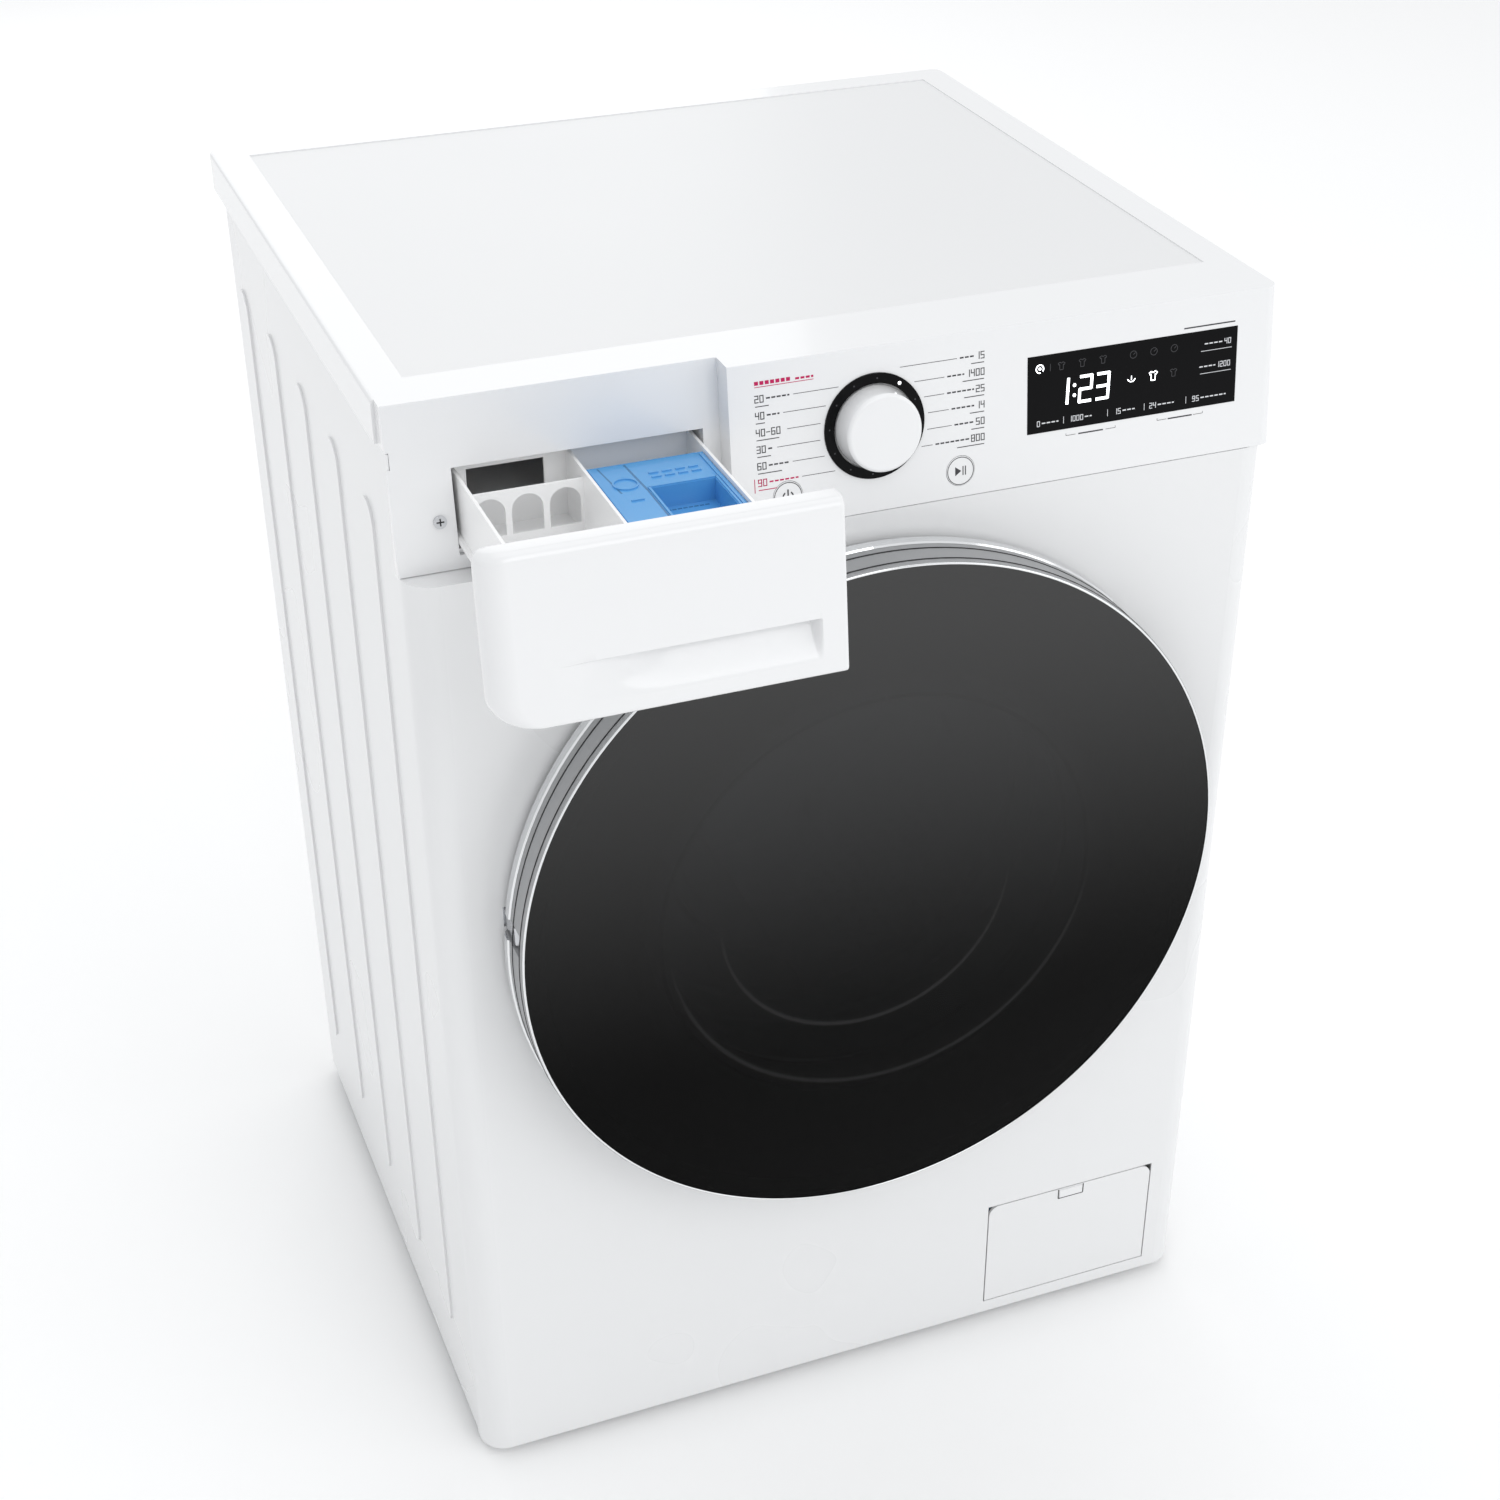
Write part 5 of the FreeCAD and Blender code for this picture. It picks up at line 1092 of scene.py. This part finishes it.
class OBJECT_OT_washer_insert(bpy.types.Operator):
    """Adds the blue insert's raised signs, and its grooves and the throat of its cup in painted
    shade
    """

    bl_idname = "object.washer_insert"
    bl_label = "Insert details"

    def execute(self, context):
        x0, x1 = INSERT_LOW.x, INSERT_HIGH.x
        y1 = INSERT_HIGH.y
        raised = arc(x0 + 17 * MM, y1 - 29 * MM, 7.5 * MM, 0, 360, 1.0 * MM, 48)
        raised.extend(bars(x0, y1, [(13, -52, 21, -52, 1.2)]))
        for row in (0, 1):
            for k in range(4):
                x = x0 + (35 + 8.5 * k) * MM
                y = y1 - (19 + 6 * row) * MM
                raised.extend(bars(x, y, [(0, 0, 6, 0, 1.3)]))
        for x, inward in ((x1, -2.5), (x0, 2.5)):
            raised.extend(bars(x, y1, [(inward, -3, inward, -150, 1.6)]))
        cup_x0, cup_x1 = x0 + 30 * MM, x1 - 6 * MM
        cup_y0, cup_y1 = y1 - 93 * MM, y1 - 39 * MM
        rim = 1.3 * MM
        raised.append(bar(cup_x0 - rim, cup_y1 + rim, cup_x1 + rim, cup_y1 + rim, 1.4 * MM))
        raised.append(bar(cup_x0 - rim, cup_y0, cup_x0 - rim, cup_y1 + rim, 1.4 * MM))
        raised.append(bar(cup_x1 + rim, cup_y0, cup_x1 + rim, cup_y1 + rim, 1.4 * MM))
        self.lay("insert_signs", raised, 0.9 * MM, on_insert(0.9 * MM), "insert_blue")
        # The grooves are darker blue stripes laid on the plate: painted shade, not cut grooves.
        groove_shade = bars(
            x0, y1, [(8, -2, 11, -40, 1.1), (25, -2, 27, -40, 1.5), (27, -40, 27, -98, 1.1)]
        )
        self.lay("insert_groove_shade", groove_shade, 0.5 * MM, on_insert(0.06 * MM), "insert_blue_shade")
        floor = -CUP_DEPTH
        cx = (cup_x0 + cup_x1) / 2
        low, high = cup_y0 + 12 * MM, cup_y1 - 16 * MM
        # The throat is a dark plate on the cup's floor and the collar a darker blue ring round it:
        # painted shade in the cup's hole.
        throat_shade = [rounded_block(cx - 9 * MM, low, cx + 9 * MM, high, 5 * MM)]
        self.lay("insert_throat_shade", throat_shade, 0.4 * MM, on_insert(floor + 0.5 * MM), "dark_joint_and_shade")
        low, high = cup_y0 + 10 * MM, cup_y1 - 14 * MM
        collar_shade = [rounded_block(cx - 11 * MM, low, cx + 11 * MM, high, 6 * MM)]
        place = on_insert(floor + 0.3 * MM)
        self.lay("insert_collar_shade", collar_shade, 0.35 * MM, place, "insert_blue_shade")
        marks = dashes(cup_x0 + 4 * MM, cup_x1 - 4 * MM, cup_y1 - 5 * MM, 1.1 * MM)
        self.lay("insert_limit", marks, 0.3 * MM, on_insert(floor + 0.25 * MM), "insert_blue_shade")
        return {"FINISHED"}

    def lay(self, name, shapes, thick, place, finish):
        """Lays thin shapes on the insert."""
        link(name, prism_mesh(name, shapes, thick, place), finish, "siphon")


class OBJECT_OT_washer_front(bpy.types.Operator):
    """Adds the flap's catch, and the cross of the screw beside the drawer as a dark sheet of
    painted shade
    """

    bl_idname = "object.washer_front"
    bl_label = "Flap catch and screw cross"

    def execute(self, context):
        middle = (FLAP_LOW.x + FLAP_HIGH.x) / 2
        top = FLAP_HIGH.z
        face = FLAP_LOW.y

        def upright(lift):
            def place(points):
                x, z, depth = points.T
                return np.column_stack([x, face - lift - depth, z])

            return place

        lines = bars(
            middle,
            top,
            [(-11, -9.5, 11, -9.5, 1.1), (-11, -9.5, -11, -0.5, 0.9), (11, -9.5, 11, -0.5, 0.9)],
        )
        mesh = prism_mesh("flap_catch_gap", lines, 0.2 * MM, upright(0.1 * MM))
        link("flap_catch_gap", mesh, "dark_joint_and_shade", "flap")
        half = 10 * MM
        tab = rectangle(middle - half, top - 8.6 * MM, middle + half, top - 1 * MM)
        mesh = prism_mesh("flap_catch", [tab], 0.9 * MM, upright(0.7 * MM))
        link("flap_catch", mesh, "white_gloss_plastic", "flap")
        screw_x = SCREWS_LOW.x + 4.2 * MM
        height = 34 * MM
        # The screw's cross is a thin dark sheet: painted shade in its recess.
        cross = bars(screw_x, height, [(-2.4, 0, 2.4, 0, 0.9), (0, -2.4, 0, 2.4, 0.9)])
        mesh = prism_mesh("screw_cross_shade", cross, 0.1 * MM, raised_on_panel(-SCREW_DEPTH))
        link("screw_cross_shade", mesh, "dark_joint_and_shade", "machine")
        return {"FINISHED"}


class OBJECT_OT_washer_back(bpy.types.Operator):
    """Adds the rear cover's pressed ribs, the blank label and the inlet's thread"""

    bl_idname = "object.washer_back"
    bl_label = "Back details"

    def execute(self, context):
        skin_y = COVER_HIGH.y
        middle = (COVER_LOW.x + COVER_HIGH.x) / 2
        t = np.linspace(0, 1, 64)
        s = np.linspace(0, math.pi, 13)
        half = 130 * MM
        x = middle + (t - 0.5) * 2 * half
        taper = np.sqrt(np.clip(1 - np.abs(2 * t - 1) ** 10, 0, 1))
        ribs = []
        for k in range(5):
            z = COVER_LOW.z + (110 + 78 * k) * MM
            points = np.empty((len(t), len(s), 3))
            points[..., 0] = x[:, None]
            points[..., 1] = skin_y - 0.1 * MM + 2.6 * MM * taper[:, None] * np.sin(s)
            points[..., 2] = z + 9 * MM * taper[:, None] * np.cos(s)
            ribs.append(grid_mesh("rib", points))
        mesh = joined("rear_cover_ribs", ribs, 1e-7, self.fill_holes)
        link("rear_cover_ribs", mesh, "white_enamel", "machine")

        def flat(points):
            x, z, depth = points.T
            return np.column_stack([x, skin_y + 0.15 * MM + depth, z])

        low = COVER_LOW.z + 24 * MM
        label = rectangle(-60 * MM, low, 60 * MM, low + 46 * MM)
        mesh = prism_mesh("blank_label", [label], 0.2 * MM, flat)
        link("blank_label", mesh, "label_silver", "machine")
        r0 = 13.2 * MM
        cx = (INLET_LOW.x + INLET_HIGH.x) / 2
        cz = INLET_HIGH.z - 20 * MM
        rings = []
        for k in range(8):
            y = INLET_HIGH.y - (3 + 2.0 * k) * MM
            section = ((-0.2, -0.8), (0.35, 0), (-0.2, 0.8))
            profile = [(r0 + a * MM, y + b * MM) for a, b in section]
            rings.append(turned_band("ring", profile, steps=48, axis_x=cx, axis_z=cz))
        mesh = joined("inlet_thread", rings, 1e-7, self.fill_holes)
        link("inlet_thread", mesh, "tub_plastic", "machine")
        return {"FINISHED"}

    def fill_holes(self, work):
        """Closes every open edge loop."""
        bmesh.ops.holes_fill(work, edges=[e for e in work.edges if e.is_boundary])


class OBJECT_OT_washer_stage(bpy.types.Operator):
    """Sets the floor, the softboxes and the camera"""

    bl_idname = "object.washer_stage"
    bl_label = "Stage"

    def execute(self, context):
        settings = context.scene.washer_stage
        context.scene.view_settings.view_transform = "Standard"
        self.floor()
        power = settings.light
        self.softbox("key_light", (0.4, -3.6, 3.2), (0, 0, 0.5), 2.4, 26 * power)
        self.softbox("fill_light", (3.0, -2.6, 1.7), (0, 0, 0.45), 2.6, 15 * power)
        self.softbox("top_light", (0.3, 0.5, 3.8), (0, 0, 0.8), 2.8, 14 * power)
        self.softbox("back_light", (0.0, 3.6, 2.2), (0, 0, 0.5), 3.0, 16 * power)
        world = bpy.data.worlds.new("pale_room")
        world.use_nodes = True
        context.scene.world = world
        background = world.node_tree.nodes["Background"]
        background.inputs["Color"].default_value = (0.98, 0.99, 1.0, 1.0)
        background.inputs["Strength"].default_value = settings.room
        self.camera(settings)
        return {"FINISHED"}

    def floor(self):
        """A flat pale floor, wide enough for every view."""
        reach = 14.0
        edge = np.linspace(-reach, reach, 2)
        xx, yy = np.meshgrid(edge, edge, indexing="ij")
        mesh = grid_mesh("floor", np.stack([xx, yy, np.zeros_like(xx)], -1))
        floor = bpy.data.objects.new("floor", mesh)
        bpy.context.scene.collection.objects.link(floor)
        start_material("pale_floor", {"Base Color": (0.98, 0.98, 0.98, 1.0), "Roughness": 0.7})
        mesh.materials.append(finish_of("pale_floor"))

    def softbox(self, name, place, target, size, power):
        """A square light that faces a point."""
        data = bpy.data.lights.new(name, "AREA")
        data.shape = "SQUARE"
        data.size = size
        data.energy = power
        lamp = bpy.data.objects.new(name, data)
        bpy.context.scene.collection.objects.link(lamp)
        lamp.location = place
        aim = np.array(target, float) - np.array(place, float)
        aim /= np.linalg.norm(aim)
        lamp.rotation_euler = (math.acos(-aim[2]), 0.0, math.atan2(-aim[0], aim[1]))

    def camera(self, settings):
        """The camera looks along its yaw and pitch, and its roll turns it about that line."""
        data = bpy.data.cameras.new("camera")
        data.sensor_width = 36.0
        data.lens = settings.lens
        data.shift_x, data.shift_y = LENS_SHIFT
        data.clip_start = 0.05
        camera = bpy.data.objects.new("camera", data)
        bpy.context.scene.collection.objects.link(camera)
        a, b, c = -settings.pitch, settings.roll, settings.yaw
        ahead = np.array([math.sin(c) * math.cos(a), math.cos(c) * math.cos(a), math.sin(a)])
        right = np.array([math.cos(c), -math.sin(c), 0.0])
        up = np.cross(right, ahead)
        side = math.cos(b) * right + math.sin(b) * up
        top = -math.sin(b) * right + math.cos(b) * up
        turn = Matrix([list(row) for row in np.column_stack([side, top, -ahead])])
        camera.matrix_world = Matrix.Translation(settings.camera_place) @ turn.to_4x4()
        bpy.context.scene.camera = camera


class VIEW3D_PT_washer(bpy.types.Panel):
    """Lists the washing machine's steps"""

    bl_idname = "VIEW3D_PT_washer"
    bl_label = "Washing machine"
    bl_space_type = "VIEW_3D"
    bl_region_type = "UI"
    bl_category = "Washer"

    def draw(self, context):
        for operator in OPERATORS:
            self.layout.operator(operator.bl_idname)
        scene = context.scene
        for group in (scene.washer_look, scene.washer_stage):
            for name in group.bl_rna.properties.keys():
                if name not in ("rna_type", "name"):
                    self.layout.prop(group, name)


SETTINGS = {
    "washer_look": LookSettings,
    "washer_panel": PanelSettings,
    "washer_door": DoorSettings,
    "washer_drawer": DrawerSettings,
    "washer_stage": StageSettings,
}
OPERATORS = (
    OBJECT_OT_washer_finishes,
    OBJECT_OT_washer_door,
    OBJECT_OT_washer_panel,
    OBJECT_OT_washer_ring,
    OBJECT_OT_washer_display,
    OBJECT_OT_washer_drawer,
    OBJECT_OT_washer_insert,
    OBJECT_OT_washer_front,
    OBJECT_OT_washer_back,
    OBJECT_OT_washer_stage,
)


def register():
    for name, group in SETTINGS.items():
        bpy.utils.register_class(group)
        setattr(bpy.types.Scene, name, bpy.props.PointerProperty(type=group))
    for operator in OPERATORS:
        bpy.utils.register_class(operator)
    bpy.utils.register_class(VIEW3D_PT_washer)


def unregister():
    bpy.utils.unregister_class(VIEW3D_PT_washer)
    for operator in reversed(OPERATORS):
        bpy.utils.unregister_class(operator)
    for name, group in SETTINGS.items():
        delattr(bpy.types.Scene, name)
        bpy.utils.unregister_class(group)


def main():
    register()
    bpy.ops.object.washer_finishes()
    bpy.ops.object.washer_door()
    bpy.ops.object.washer_panel()
    bpy.ops.object.washer_ring()
    bpy.ops.object.washer_display()
    bpy.ops.object.washer_drawer()
    bpy.ops.object.washer_insert()
    bpy.ops.object.washer_front()
    bpy.ops.object.washer_back()
    bpy.ops.object.washer_stage()


if __name__ == "__main__":
    main()
